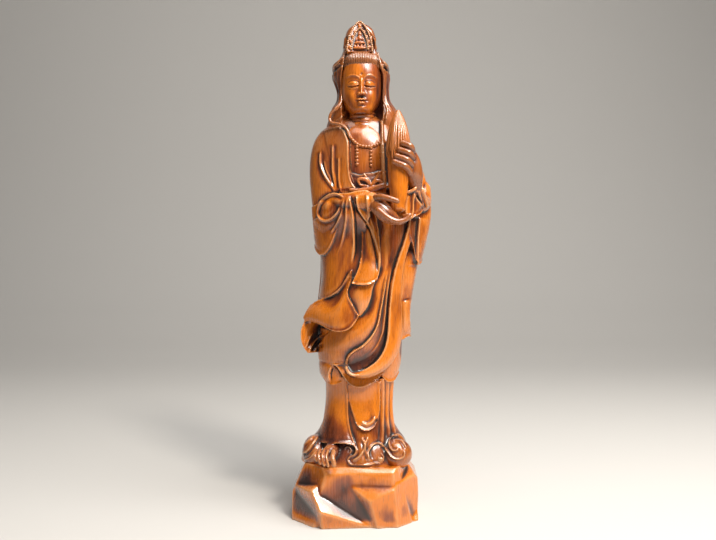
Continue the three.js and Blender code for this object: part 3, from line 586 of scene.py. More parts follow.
panelLeft = [[0, 256], [1, 244], [4, 236.5], [4.5, 222], [4, 208], [2, 198], [-1, 190.5], [-3.5, 185.5]]
tongueLeft = [[-4, 196], [-4, 189], [-6.5, 180], [-6, 175.5], [-3, 170], [0, 164.5], [2.5, 160.5]]
fallEdge = [[33, 238], [30.5, 226], [29, 214], [27, 204], [24, 192], [21.5, 176], [19.5, 166], [17, 154],
            [13, 145.5], [8, 139.5], [3.5, 136], [-2, 133], [-6, 129], [-7.5, 123.5]]
tongueEdge = [[42.5, 238], [40, 227], [37, 217], [33, 206], [30, 196], [27.5, 184], [26, 171], [25.2, 160],
              [24.2, 144], [21.6, 133.5], [16.3, 125.5], [8, 119.5], [1.5, 117.3], [-3.5, 117.5],
              [-6.8, 121]]
robeHem = [[49, 238], [46.5, 229.5], [43, 217], [39.5, 205.5], [37, 194], [36, 180], [36.3, 165], [37, 148],
           [35.5, 138], [32, 129], [26, 121.5], [18, 116], [8, 112.8], [0, 113.3], [-5.5, 116.3],
           [-8.3, 121.5]]

robe = {
    "voxel": 0.6, "core": (100, 321, 1.5, 220),
    # the ruffled hem above the skirt
    "hems": [
        {"left": [[-30, 150], [-30, 126], [-30.5, 116], [-28, 110], [-24.5, 107]],
         "right": [[-3, 146], [-7, 128], [-9, 116], [-10, 108]],
         "hem": [[-20, 105.5], [-15, 106]],
         "lifts": [[1, 3, 3], [3, 5, 4], [4, 6, 3]], "hollow": 0.14, "lips": "hem"},
        {"left": [[-10, 130], [-16, 123], [-12, 117], [-9.5, 111], [-6, 107]],
         "right": [[30, 130], [26, 120], [21, 114]],
         "hem": [[2, 104.5], [10, 106], [16, 109.5]],
         "lifts": [[1, 1, 1], [3, 2, 1], [5, 6, 3]], "hollow": 0.16, "lips": "hem left"},
        {"left": [[24, 128], [21.5, 118], [21, 112]], "right": [[34, 142], [36, 120], [34.5, 113]],
         "hem": [[25, 107.5], [30, 107.5]],
         "lifts": [[2, 3, 3], [3, 5, 4]], "hollow": 0.2, "lips": "hem"},
    ],
    # it sweeps from under the bundle down to the left: a broad fall, a hollow tongue and a round outer band
    "sweep": [
        {"left": [[15, 238], [16, 215], [16, 195], [10, 183], [7, 172], [2, 162], [-8, 154], [-20, 148],
                  [-29, 138], [-30.5, 124]],
         "right": fallEdge,
         "lifts": [[2.5, 3, 2.5], [4, 5, 4], [3, 5, 4], [3, 5, 5], [3, 6, 6], [3.5, 6.5, 6], [4, 5.5, 6]]},
        {"left": fallEdge, "right": tongueEdge,
         "lifts": [[4, 5, 5], [4, 4.5, 5], [5, 5, 5], [6.5, 5, 5.5], [8, 5, 6.5], [9, 6, 9]]},
        {"left": [tongueEdge[0], robeHem[0]], "right": [tongueEdge[-1], robeHem[-1]],
         "top": tongueEdge[1:-1], "hem": robeHem[1:-1],
         "lifts": [[5, 5, 5, 8, 10], [5.5, 6, 7.5, 12, 13], [5, 5.5, 7, 11, 11]], "hollow": 0.3},
        {"left": [[48.5, 240], [43.5, 217], [38.5, 200], [36.5, 184], [36, 170], [36.5, 156], [37, 140]],
         "right": [[54, 240], [51, 220], [50.5, 206], [50, 193], [50.5, 183], [47.5, 175], [44.5, 169],
                   [44, 155], [45.5, 141.5]],
         "hem": [[39.5, 141.5], [42, 142.5]],
         "lifts": [[1, 5, 6], [1, 5, 6], [2, 6, 6.5], [3, 6, 7], [5, 7, 9]], "hollow": 0.06, "lips": "hem"},
    ],
    # the sleeve that hangs from the forearm: its fall, the shorter outer layer, the flared end with the lobe
    # inside it, the tongue and the front panel over that
    "sleeve": [
        {"top": [[-25, 254], [-16, 256], [-8, 255.5], [0, 257], [8, 257.5]],
         "left": [[-31, 250], [-33, 232], [-29.5, 205], [-29.5, 185], [-33, 172]],
         "right": [[13, 255], [10, 236], [5.5, 220], [3, 203], [-1, 190], [-8, 180]],
         "lifts": [[2, 7, 11, 14], [1, 8, 12, 14], [0.5, 6, 7, 7], [0.5, 5, 6, 6], [0.5, 5, 6, 6],
                   [2, 5, 6, 6]]},
        {"top": [[-24, 251]], "left": [[-36, 247], [-35, 232], [-33.8, 216]],
         "right": [[-10, 252.5], [-9.5, 251]],
         "hem": [[-32, 211], [-28.5, 207.7], [-24.5, 209], [-20.5, 214], [-17, 222], [-14, 231], [-11, 243]],
         "lifts": [[3, 6, 7], [4, 8, 8], [5, 8, 8]], "hollow": 0.14, "lips": "hem"},
        {"left": [[-39.5, 158], [-43.8, 149], [-43.8, 140], [-41.5, 133.5], [-38.5, 129.5]],
         "right": [[-14, 157], [-19, 146], [-23, 138], [-26, 132], [-28, 129.5]],
         "depths": [[-12, -9, -4, -2, -4], [-14, -12, -5, -3, -5], [-15, -13, -7, -5, -8],
                    [-13, -12, -9, -8, -10]],
         "thick": 4, "straight": True, "lips": "left"},
        {"top": [[-32, 171], [-27.5, 173], [-19.5, 176], [-12.5, 181.5], [-7.5, 189]],
         "left": [[-37, 168], [-40.5, 162.5], [-42.5, 157.5], [-41.5, 154.5]], "right": tongueLeft,
         "hem": [[-36.5, 155.5], [-32.5, 154.5], [-28, 153], [-22.5, 150.5], [-18, 149], [-12.5, 148.5],
                 [-7.5, 149.5], [-3, 152.5]],
         "depths": [[-10, -20, -29, -34], [-12, -26, -34, -35], [-13, -28, -38, -36]], "thick": 12,
         "hollow": 0.3, "lips": "hem right"},
        {"left": [[-5, 190], [-6.5, 180], [-6, 175.5], [-3, 170], [0, 164.5], [2.5, 160.5]],
         "right": [[16, 190], [13, 181], [11.5, 174], [8.5, 166.5], [3.5, 160.5]],
         "lifts": [[6, 7.5, 6.5], [6.5, 9.5, 6.5], [6.5, 7.5, 6.5]]},
        {"left": panelLeft, "right": [[13, 254], [15, 245], [16, 237], [17.5, 227], [18.5, 215], [19, 204],
                                      [18, 194], [16.5, 188.5]],
         "hem": [[0, 184.8], [4, 184.3], [8, 184.3], [12, 185.5]],
         "lifts": [[7, 8, 5], [7, 8.5, 6], [7, 8.5, 7], [10, 12, 10.5]], "hollow": 0.07,
         "lips": "hem left right"},
    ],
    # the mantle over the chest and the arms, and the other sleeve with its wide mouth
    "mantle": [
        {"left": [[-26, 309], [-22, 290], [-15, 260]],
         "right": [[-9, 312], [-5, 306], [-4, 299], [-3.5, 280], [-3, 270], [1, 260]],
         "lifts": [[0.5, 2.5, 4], [0.5, 2.5, 4]], "lips": "right"},
        {"left": [[20.5, 316], [20.5, 300], [21, 280], [22, 260]], "right": [[36, 308], [42, 290], [44, 262]],
         "lifts": [[4, 1.5, 0.5], [4, 2, 0.5]], "lips": "left"},
        {"left": [[39, 264], [38, 250], [40, 231]],
         "right": [[55, 276], [59.5, 259], [61, 244], [60, 232], [56.5, 215], [55.5, 205]],
         "hem": [[46, 214], [49.5, 200], [52, 201]],
         "lifts": [[4, 4, 4.5], [5, 6, 8], [5, 7, 9]], "hollow": 0.05, "lips": "hem"},
        {"top": [[45, 258.5], [47.5, 263]], "left": [[40.5, 255.5], [38.5, 248.5], [38, 243], [40, 233.5]],
         "right": [[50, 268], [53, 258], [54, 251], [52.5, 243]],
         "hem": [[43.5, 236], [47.5, 238], [50.5, 240]],
         "depths": [[-37, -35, -28], [-37, -34, -24], [-37, -34, -22]], "thick": 9, "hollow": 0.14,
         "lips": "hem"},
    ],
    # the sleeves' tops over the forearms, the loop in which the near one falls at the elbow, and curled tips
    "tops": [
        [[-22, -16, 250, 4.5], [-8, -27, 248, 7], [6, -33, 248.5, 7.3], [13, -38.5, 248.5, 7.2]],
        [[-25, -15, 244, 5.5], [-19, -19, 245, 8], [-13, -23, 248, 6]],
        [[54, -2, 262, 7], [53, -12, 250, 7.2], [49.5, -22, 251, 7.2], [46, -31, 258, 6]],
        [[40, -38, 255.5, 1.2], [45, -38.5, 258, 1.4], [48, -35, 263, 1.4], [49.5, -31, 269, 1.2]],
    ],
    "lines": [
        ["ridge", 1.0, 1.3, [[-28.5, 292], [-28.5, 281.5], [-26, 273.5], [-22, 266.5], [-18.5, 261.5],
                             [-16.5, 257.5]]],
        ["ridge", 0.8, 0.7, [[-25.5, 284], [-24, 276], [-21.5, 270], [-18, 262]]],
        ["ridge", 1.0, 1.2, [[-18.5, 297], [-18.5, 285.5], [-18.5, 276], [-17.5, 268], [-16, 258]]],
        ["ridge", 0.8, 0.9, [[-13.5, 286], [-13.5, 276], [-13.5, 267], [-12, 259.5], [-11, 255]]],
        ["step", "left", 1.0, [[-14, 309.5], [-9.5, 307], [-7.5, 302], [-6, 297.5], [-5.5, 285], [-5, 274.5],
                               [-4, 267.5], [-2, 263], [1, 259]], (0.05, 0.05)],
        ["step", "left", 1.3, [[-5, 254], [-4, 249.5], [-2, 239], [-1, 224], [-1, 212], [-2.5, 203],
                               [-4, 198]], (0.08, 0.3)],
        ["ridge", 0.8, 0.9, [[-4, 196], [-7.5, 189], [-12.5, 181.5], [-19.5, 176], [-27.5, 173], [-36, 169]],
         (0.1, 0.1)],
        ["step", "right", 1.4, [[-0.5, 254], [1, 243.5], [4, 238], [8.5, 232], [12, 224.5], [15, 215],
                                [17, 205], [17, 194]], (0.05, 0.15)],
        ["ridge", 1.0, 1.5, [[-9, 252], [-17, 255.5], [-24.5, 253], [-29, 248], [-30.5, 242], [-29, 237],
                             [-24.5, 234.5], [-19, 236], [-14, 241], [-11.5, 247.5]], (0.05, 0.1)],
        ["ridge", 0.9, 0.9, [[-9, 251], [-10.5, 245], [-12, 238.5], [-15.5, 231], [-20.5, 224]]],
        ["ridge", 1.0, 0.9, [[-6, 252], [-7.5, 246], [-7.5, 238], [-9, 227], [-12, 215], [-17, 204]],
         (0.1, 0.5)],
        ["ridge", 0.9, 1.3, [*fallEdge[3:], [-7, 119], [-3, 115.5], [3, 115]], (0.25, 0.05)],
        ["ridge", 0.8, 0.9, [[28, 200], [26, 186], [24, 172], [22.5, 158], [20.5, 146], [16, 136.5],
                             [9, 129.5], [3, 126]], (0.2, 0.4)],
        ["step", "right", 1.3, tongueEdge[:-2], (0.03, 0.05)],
        ["ridge", 1.0, 1.1, [[8, 255], [8.5, 249], [9.5, 241], [12, 232], [15.5, 222]], (0.15, 0.3)],
        ["ridge", 2.0, -2.2, [[24, 298], [24.3, 286], [24.6, 272], [25, 262]], (0.1, 0.1)],
        ["step", "right", 1.2, [[-19.5, 120.5], [-16.8, 121.5], [-13, 117.5], [-9.5, 111.5], [-5.5, 107.2]],
         (0.15, 0)],
        ["step", "left", 1.0, [[-18.5, 120.5], [-20.8, 114], [-20.3, 107]], (0.2, 0.3)],
        ["ridge", 0.9, 1.0, [[-17, 121.5], [-12, 123], [-8, 122]], (0.2, 0.2)],
        ["step", "right", 0.9, [[50, 238], [48.5, 223.5], [48.5, 210.5], [49, 200]], (0.05, 0.05)],
        ["ridge", 0.9, 1.2, [[45, 255.5], [44, 249], [44, 242.5], [42.5, 236]], (0.1, 0)],
        ["step", "left", 1.2, [[45.5, 255.5], [48, 250], [52.5, 246.5]]],
        ["step", "right", 1.0, [[51, 264], [52, 256.5], [54, 250.5], [56, 244]]],
        ["ridge", 0.9, 1.1, [[-37.5, 131], [-34.5, 137], [-30.5, 141.5], [-25, 145]], (0.1, 0.3)],
        ["ridge", 0.9, 0.9, [[-33.5, 130], [-30.5, 135.5], [-26, 139]], (0.1, 0.3)],
        ["ridge", 0.9, 1.0, [[-40, 134], [-37.5, 141], [-34, 147]], (0.1, 0.3)],
    ],
}


def makeRobe():
    clay = Clay()
    formLoft(clay, robeForm, *robe["core"], backRelief)
    for name in ("hems", "sweep", "sleeve", "mantle"):
        for cloth in robe[name]:
            drape(clay, **cloth)
    for path in robe["tops"]:
        clay.bar(path, sides=20)
    return joined(clay, "robe", robe["voxel"], relief=withLines(robe["lines"]))


# Hands: a palm each, with the fingers given by their knuckles and tips

hands = {
    "voxel": 0.35, "triangles": 60000, "finger": 2.35, "openSize": 1.15, "closedSize": 1.16, "taper": 0.08,
    "palm": [[14, -39, 247.5, 5.4], [18, -42.5, 243.5, 6.0], [23, -43.5, 238.5, 6.0], [28, -43, 235, 4.8]],
    "thumb": [[15, -43.5, 251], [19.5, -48, 251], [25, -50, 249.6], [31, -50.8, 247.6]],
    "fingers": [[17, -49, 241], [24, -51, 235.2], [31, -51, 232.4], [37, -50.5, 233.6], [40.5, -49.5, 237.2]],
    "spread": [[1, 3.8, -0.4], [1, 3.8, -0.3], [0.5, 3.8, 0], [-0.3, 3.8, 0], [-1.2, 3.8, 0]],
    # the fingers round the bundle, from knuckle to tip by way of a bend in front of both
    "knuckles": [[43, 285], [44, 279.5], [43.8, 274], [42.5, 268.5]],
    "tips": [[35.7, 291.5], [33.4, 286.5], [30.8, 281.8], [29.2, 277.5]],
    "depths": [-41.5, -48.5, -47.5], "bend": (1.8, 0.6),
    "back": [[46.5, -29, 257, 5.0], [45.5, -35, 264, 5.6], [44.5, -38.5, 271, 6.8], [43.5, -39.5, 279, 6.2],
             [42, -40, 284, 4.6]],
}


def makeHands():
    clay = Clay()

    def digit(points, size):
        radius = hands["finger"] * size
        clay.bar([[*point, radius * (1 - hands["taper"] * i)] for i, point in enumerate(points)], spacing=0.5)

    clay.bar(hands["palm"], flat=1.1, sides=24)
    digit(hands["thumb"], hands["openSize"])
    for i in range(4):
        digit(np.array(hands["fingers"]) + i * np.array(hands["spread"]), hands["openSize"])
    clay.bar(hands["back"], sides=24)
    for knuckle, end in zip(np.array(hands["knuckles"]), np.array(hands["tips"])):
        places = np.array([knuckle, (knuckle + end) / 2 + hands["bend"], end])
        digit(np.insert(places, 1, hands["depths"], axis=1), hands["closedSize"])
    return joined(clay, "hands", hands["voxel"], triangles=hands["triangles"])


# The bundle held in the arm

bundle = {
    "length": 77, "foot": [32.5, -41.5, 240], "lean": 4.0, "voxel": 0.4, "triangles": 60000, "strands": 18,
    # its radius by the share of its length, and the shallow flutes of its upper half
    "outline": [[0, 3.6], [0.03, 5.2], [0.3, 7.6], [0.55, 8.2], [0.75, 7.0], [0.88, 4.8], [0.96, 2.8],
                [1, 1.0]],
    "rings": 90, "columns": 72, "flutes": 9, "flute": 0.25,
    # a strand's radius from the tip down to its end, and how far it sways
    "strand": [(1.02, 0.8), (0.96, 3.0), (0.88, 5.3), (0.78, 7.2), (0.68, 8.4)], "strandEnd": (8.9, 8.5),
    "sway": 0.08,
}


def leaning(points):
    tilt = math.radians(bundle["lean"])
    x, y, z = np.moveaxis(np.asarray(points, float), -1, 0)
    leant = [x, y * math.cos(tilt) + z * math.sin(tilt), z * math.cos(tilt) - y * math.sin(tilt)]
    return np.stack(leant, axis=-1) + np.array(bundle["foot"])


def makeBundle():
    outline = smoothTable(bundle["outline"])
    turns = np.linspace(0, 2 * np.pi, bundle["columns"], endpoint=False)
    rings = []
    for share in np.linspace(0, 1, bundle["rings"]):
        flutes = bundle["flute"] * np.sin(bundle["flutes"] * turns) * smoothStep(share, 0.4, 0.7)
        r = outline(share)[0] + flutes
        ring = [r * np.sin(turns), -r * np.cos(turns), np.full(len(turns), share * bundle["length"])]
        rings.append(leaning(np.stack(ring, axis=-1)))
    return joined(Clay().loft(rings), "bundle", bundle["voxel"], 2, triangles=bundle["triangles"])


# Nodes, for Geometry Nodes trees and for materials

class Shade:
    # a socket in an expression: an operator on it adds a Math node
    def __init__(self, tree, socket):
        self.tree, self.socket = tree, socket

    def math(self, operation, first, second, clamp=False):
        node = self.tree.nodes.new("ShaderNodeMath")
        node.operation = operation
        node.use_clamp = clamp
        for socket, value in zip(node.inputs, (first, second)):
            feed(self.tree, value, socket)
        return Shade(self.tree, node.outputs[0])

    def __add__(self, other):
        return self.math("ADD", self, other)

    def __radd__(self, other):
        return self.math("ADD", other, self)

    def __sub__(self, other):
        return self.math("SUBTRACT", self, other)

    def __rsub__(self, other):
        return self.math("SUBTRACT", other, self)

    def __mul__(self, other):
        return self.math("MULTIPLY", self, other)

    def __rmul__(self, other):
        return self.math("MULTIPLY", other, self)

    def clamped(self):
        return self.math("ADD", self, 0.0, clamp=True)


def feed(tree, value, socket):
    # a link from another socket, or a value set on the socket itself
    if isinstance(value, Shade):
        tree.links.new(value.socket, socket)
    else:
        socket.default_value = value


class Nodes:
    def __init__(self, tree):
        self.tree = tree

    def node(self, kind, settings=None, output=0, **inputs):
        # a node, with its settings first and then its sockets, named without their spaces
        node = self.tree.nodes.new(kind)
        settings = dict(settings or {})
        stops, curve = settings.pop("stops", []), settings.pop("curve", [])
        for name, value in settings.items():
            setattr(node, name, value)
        for i, (place, colour) in enumerate(stops):
            elements = node.color_ramp.elements
            element = elements[i] if i < len(elements) else elements.new(place)
            element.position = place
            element.color = (*colour, 1)
        for i, place in enumerate(curve):
            points = node.mapping.curves[0].points
            if i < 2:
                points[i].location = place
            else:
                points.new(*place)
        sockets = {socket.name.replace(" ", ""): socket for socket in node.inputs if socket.enabled}
        for name, value in inputs.items():
            feed(self.tree, value, sockets[name])
        return Shade(self.tree, [socket for socket in node.outputs if socket.enabled][output])


class GrowthTree(Nodes):
    # a Geometry Nodes tree on curves, with named inputs
    def __init__(self, name, inputs):
        super().__init__(bpy.data.node_groups.new(name, "GeometryNodeTree"))
        sockets = self.tree.interface
        sockets.new_socket("Geometry", in_out="INPUT", socket_type="NodeSocketGeometry")
        for label, (kind, value) in inputs.items():
            socket = sockets.new_socket(label, in_out="INPUT", socket_type=kind)
            if value is not None:
                socket.default_value = value
        sockets.new_socket("Geometry", in_out="OUTPUT", socket_type="NodeSocketGeometry")
        start = self.tree.nodes.new("NodeGroupInput")
        self.source = {socket.name: Shade(self.tree, socket) for socket in start.outputs}

    def finished(self, shape):
        real = self.node("GeometryNodeRealizeInstances", Geometry=shape)
        painted = self.node("GeometryNodeSetMaterial", Geometry=real, Material=self.source["Material"])
        feed(self.tree, painted, self.tree.nodes.new("NodeGroupOutput").inputs[0])
        return self.tree


def strandTree():
    # each spline becomes a tube that thins towards its ends
    tree = GrowthTree("strands", {"Radius": ("NodeSocketFloat", 0.0008), "Sides": ("NodeSocketInt", 8),
                                  "Material": ("NodeSocketMaterial", None)})
    source = tree.source
    along = tree.node("GeometryNodeSplineParameter")
    taper = tree.node("ShaderNodeFloatCurve", {"curve": [(0, 0.55), (1, 0.3), (0.3, 1), (0.75, 0.9)]},
                      Value=along)
    sized = tree.node("GeometryNodeSetCurveRadius", Curve=source["Geometry"], Radius=taper * source["Radius"])
    circle = tree.node("GeometryNodeCurvePrimitiveCircle", Resolution=source["Sides"], Radius=1.0)
    radius = tree.node("GeometryNodeInputRadius")
    tube = tree.node("GeometryNodeCurveToMesh", Curve=sized, ProfileCurve=circle, Scale=radius, FillCaps=True)
    return tree.finished(tube)


def beadTree():
    # round beads touching one another along each spline
    tree = GrowthTree("beads", {"Radius": ("NodeSocketFloat", 0.001), "Spacing": ("NodeSocketFloat", 0.002),
                                "Material": ("NodeSocketMaterial", None)})
    source = tree.source
    places = tree.node("GeometryNodeCurveToPoints", {"mode": "LENGTH"}, Curve=source["Geometry"],
                       Length=source["Spacing"])
    bead = tree.node("GeometryNodeMeshIcoSphere", Radius=source["Radius"], Subdivisions=2)
    return tree.finished(tree.node("GeometryNodeInstanceOnPoints", Points=places, Instance=bead))


def grown(name, paths, tree, **settings):
    # the tree's result along these paths, as a plain mesh object
    curve = bpy.data.curves.new(name + "_paths", "CURVE")
    curve.dimensions = "3D"
    for path in paths:
        run, length = curveThrough(path)
        dense = run(np.linspace(0, 1, max(8, int(length / 1.2)))) * unit
        spline = curve.splines.new("POLY")
        spline.points.add(len(dense) - 1)
        spline.points.foreach_set("co", np.column_stack([dense, np.ones(len(dense))]).ravel())
    source = placed(name + "_paths", curve)
    modifier = source.modifiers.new("grow", "NODES")
    modifier.node_group = tree
    for socket in tree.interface.items_tree:
        if socket.in_out == "INPUT" and socket.name in settings:
            modifier[socket.identifier] = settings[socket.name]
    mesh = workedMesh(source)
    bpy.data.objects.remove(source)
    return placed(name, mesh)


# The hood: its form, the opening at its front as height, left, right and depth, and its rolled rims

hood = {
    "voxel": 0.42, "triangles": 130000, "low": 292, "high": 397, "rings": 110, "columns": 90, "lining": 22,
    "folds": 5, "foldDepth": 1.3,
    "rims": [
        [[-9.6, -13, 370, 0.5], [-10.2, -14, 364, 0.5], [-11, -13.5, 358, 0.5],
         [-12, -13, 351, 0.4], [-12, -13, 340, 0.4], [-12, -13.5, 331, 0.6], [-15, -15, 325, 1.2],
         [-19.5, -14, 321.5, 1.3], [-21, -13.5, 317, 1.3], [-19.5, -15, 313.5, 1.3], [-12.5, -18, 311.5, 1.2],
         [-7.5, -20, 307.5, 1.2], [-5, -21, 301, 1.0]],
        [[17.6, -13, 370, 0.5], [18.8, -14.5, 364, 0.9], [20.4, -15, 358, 1.0], [22.3, -14.5, 351, 0.9],
         [22.3, -14.5, 340, 0.9], [22.3, -14.5, 331, 1.0], [25, -15.5, 324, 1.1],
         [24, -17, 316, 1.1]],
    ],
    "shelves": [
        [[-11, -14, 365.5, 0.6], [-14, -12, 363, 0.9], [-17, -8, 361.2, 1.1], [-18.4, 0, 360.6, 1.2]],
        [[19, -14, 365.5, 0.6], [21.5, -12, 363, 0.9], [24.4, -8, 361.2, 1.1], [25.8, 0, 360.6, 1.2]],
    ],
    "lines": [
        ["ridge", 1.3, -2.4, [[-7.4, 386], [-7.6, 381], [-7.6, 376]]],
        ["ridge", 1.3, -2.4, [[14.2, 386], [14.4, 381], [14.3, 376]]],
        ["ridge", 1.0, -1.8, [[-12, 361], [-15, 359], [-19.5, 357.5]], (0.1, 0)],
        ["ridge", 1.0, -1.8, [[20.5, 361], [23, 359], [27.5, 357.5]], (0.1, 0)],
        ["ridge", 0.8, 0.8, [[-13.5, 360], [-15.5, 351], [-13.5, 341], [-14, 331], [-18, 322]]],
        ["ridge", 0.8, 0.7, [[-16.5, 358], [-18, 350], [-15, 339]]],
        ["ridge", 0.8, 0.8, [[21.5, 361], [24.5, 351], [24, 341], [25, 331], [30, 322]]],
        ["ridge", 0.8, 0.7, [[24.5, 359], [26, 350], [25.8, 342]]],
        ["ridge", 0.9, 0.8, [[-8.5, 325], [-12, 318], [-17, 315]]],
    ],
}
hoodForm = uprightForm([
    [292, -21, 33, -10, 17],
    [306, -24, 38, -16, 19.5],
    [313, -23.5, 38, -17, 19.5],
    [321, -20.5, 35, -17, 18.5],
    [328, -18.5, 31, -16.5, 18],
    [334, -15, 27, -16.5, 18],
    [341, -14.5, 26, -16.5, 19],
    [349, -17, 26.5, -16.5, 21],
    [353, -18.5, 27, -16.5, 22.5],
    [358, -18.3, 26.3, -16, 22.5],
    [361, -18.9, 26.4, -15.8, 22.5],
    [364, -18.0, 24.8, -15.4, 22],
    [368, -14.2, 20.6, -14.8, 21],
    [373, -11.4, 17.6, -14, 19.5],
    [379, -10.2, 16.4, -12.5, 17.5],
    [386, -9.3, 16.2, -10.5, 15],
    [392.5, -6.8, 14, -7, 11.5],
    [395.6, -3.2, 10.8, -4, 8],
    [397, 0.5, 7.5, -2, 5],
])
hoodOpening = smoothTable([
    [292, -9, 19, -9],
    [306, -10, 21, -8],
    [313, -11, 21, -3],
    [322, -11.5, 22, 2],
    [333, -11.5, 22, 3],
    [351, -12, 22, 2],
    [365, -9.5, 18.5, 0],
    [380, -7.5, 16, -2],
    [388, -5, 13, -5],
    [393, -2, 10, -5.5],
    [397, 3, 5, -1.9],
])


def makeHood():
    clay = Clay()
    columns, inner = hood["columns"], hood["lining"]
    rings = []
    for z in np.linspace(hood["low"], hood["high"], hood["rings"]):
        left, right, depth = hoodOpening(z)
        turns = np.linspace(turnOf(hoodForm, right, z), 2 * np.pi + turnOf(hoodForm, left, z), columns)
        folds = hood["foldDepth"] * np.abs(np.sin(turns * hood["folds"] + 0.02 * z)) * smoothStep(z, 300, 325)
        folds = folds * (1 - smoothStep(z, 355, 366)) * smoothStep(np.cos(turns), 0.3, 0.0)
        shell = around(hoodForm, turns, np.full(columns, z), folds)
        # the lining runs back from the rims to the depth of the opening
        share = np.linspace(0.03, 0.97, inner)
        rim = mix(shell[-1][1], shell[0][1], share)
        y = rim + (depth - rim) * np.sin(np.pi * share) ** 0.5
        rings.append(np.vstack([shell, np.stack([mix(left, right, share), y, np.full(inner, z)], axis=-1)]))
    clay.loft(rings)
    for path in hood["rims"] + hood["shelves"]:
        clay.bar(path, spacing=0.6)
    return joined(clay, "hood", hood["voxel"], relief=withLines(hood["lines"]), triangles=hood["triangles"])


# The head, with its features placed by thirds from the chin to the hairline

head = {
    "middle": 4.4, "chin": 321.0, "hairline": 359.4, "columns": 260, "rows": 230,
    # step from the chin up, height, half width, front, back
    "form": [
        [0.0, 327, 7.5, -9, 6], [0.06, 323.2, 8.6, -14, 8], [0.12, 321.0, 6.8, -18.0, 8],
        [0.16, 321.6, 8.0, -19.6, 8.5], [0.21, 323.6, 10.2, -20.5, 9.5], [0.28, 327.5, 12.9, -20.4, 11],
        [0.36, 333, 15.0, -20.1, 12.5], [0.46, 339, 15.8, -20.0, 13.5], [0.55, 344.5, 15.9, -20.3, 14],
        [0.65, 350.5, 15.8, -21.1, 14], [0.75, 356, 15.1, -21.0, 13.5], [0.85, 361.5, 13.6, -19.4, 12.5],
        [0.94, 366.5, 11, -15.5, 10], [1.0, 369, 7, -10, 7],
    ],
}


face = {
    # shares of a third of the face, from the brow down to the eye and from the nose's foot down to the mouth
    "eyeDrop": 0.27, "mouthDrop": 0.36,
    "nose": {"rise": (1.2, 3.8), "width": (1.25, 2.0), "tip": 1.6, "wing": 1.9, "wingSide": 2.35},
    "brow": {"arch": 4.0, "reach": 14.5, "plane": 0.25, "rim": 0.4, "socket": 0.5, "inner": 0.9},
    "lid": {"side": 6.5, "rise": 2.4, "width": 3.9, "slit": 1.1, "fold": 0.6, "edge": 0.35},
    "lips": {"upper": 2.1, "lower": 2.7, "line": 1.2, "mound": 0.9, "corner": 0.35},
    "chin": 1.9, "cheek": 1.5, "mark": 0.9,
}


def faceRelief(x, z):
    # how far the face stands forward of the plain head, from the side distance x and the height z
    nose, brows, lid, lips = face["nose"], face["brow"], face["lid"], face["lips"]
    third = (head["hairline"] - head["chin"]) / 3
    noseBase = head["chin"] + third
    brow = head["chin"] + 2 * third
    eye = brow - face["eyeDrop"] * third
    mouth = noseBase - face["mouthDrop"] * third
    side = np.abs(x)
    run = np.clip((brow - z) / (brow - noseBase - nose["tip"]), 0, 1)
    bridge = mix(*nose["rise"], run ** 1.1) * bump(x, mix(*nose["width"], run ** 2))
    bridge = bridge * (1 - smoothStep(z, brow - 2, brow + 2.4))
    bridge = bridge * smoothStep(z, noseBase - 0.8, noseBase + 1.3)
    wings = nose["wing"] * bump(side - nose["wingSide"], 1.0) * bump(z - noseBase - 1.2, 1.25)
    relief = bridge + wings
    # brows that run on from the bridge of the nose as long arcs, over shallow sockets
    arc = brow - 0.4 + brows["arch"] * np.sin(np.pi * np.clip((side - 0.6) / brows["reach"], 0, 1)) ** 0.75
    above = z - arc
    ends = smoothStep(side, 1.0, 2.2) * (1 - smoothStep(side, 11, 13.5))
    relief += brows["plane"] * smoothStep(above, -1.2, 0.1) * (1 - smoothStep(above, 0.6, 6)) * ends
    relief += brows["rim"] * bump(above, 0.6) * ends
    relief -= brows["socket"] * bump(side - 6.4, 4.8) * bump(z - eye - 3.2, 2.3)
    relief -= brows["inner"] * bump(side - 2.8, 1.4) * bump(z - eye, 2.6)
    # lowered lids over the eyes
    across = np.cos(np.pi * np.clip((side - 6.6) / 4.5, -1, 1) / 2)
    ends = 1 - smoothStep(np.abs(side - 6.6), 3.6, 4.8)
    relief += lid["rise"] * bump(side - lid["side"], lid["width"]) * bump(z - eye - 0.2, 2.7)
    slit = eye - 1.3 - 1.1 * across
    relief -= lid["slit"] * bump(z - slit, 0.42) * ends
    relief += lid["edge"] * (bump(z - slit - 0.9, 0.5) + bump(z - slit + 1.2, 0.7)) * ends
    relief -= lid["fold"] * bump(z - eye - 1.4 - 1.3 * across, 0.42) * ends
    # lips, and the line between them, turned up a little at the corners
    above = z - mouth
    bow = above - 1.05 - 0.35 * bump(side - 1.2, 0.9)
    relief += lips["upper"] * bump(bow, 1.0) * (1 - smoothStep(side, 2.0, 4.0))
    relief += lips["lower"] * bump(above + 1.6, 1.3) * (1 - smoothStep(side, 1.4, 3.6))
    relief -= lips["line"] * bump(above - 0.03 * side ** 2, 0.38) * (1 - smoothStep(side, 3.2, 4.2))
    relief -= lips["corner"] * bump(side - 4.6, 0.9) * bump(above - 0.5, 1.0)
    relief += lips["mound"] * bump(x, 5.5) * bump(above, 4.5)
    relief -= 0.5 * bump(x, 0.8) * bump(z - noseBase + 1.6, 1.3)
    relief -= 0.7 * bump(x, 3.0) * bump(above + 3.7, 1.0)
    # chin, cheeks and the mark between the brows
    relief += face["chin"] * bump(x, 3.9) * bump(z - head["chin"] - 3.2, 2.7)
    relief += face["cheek"] * bump(side - 8.6, 4.4) * bump(z - noseBase - 0.5, 5.5)
    return relief - face["mark"] * bump(np.hypot(x, z - brow - 4.2), 0.85)


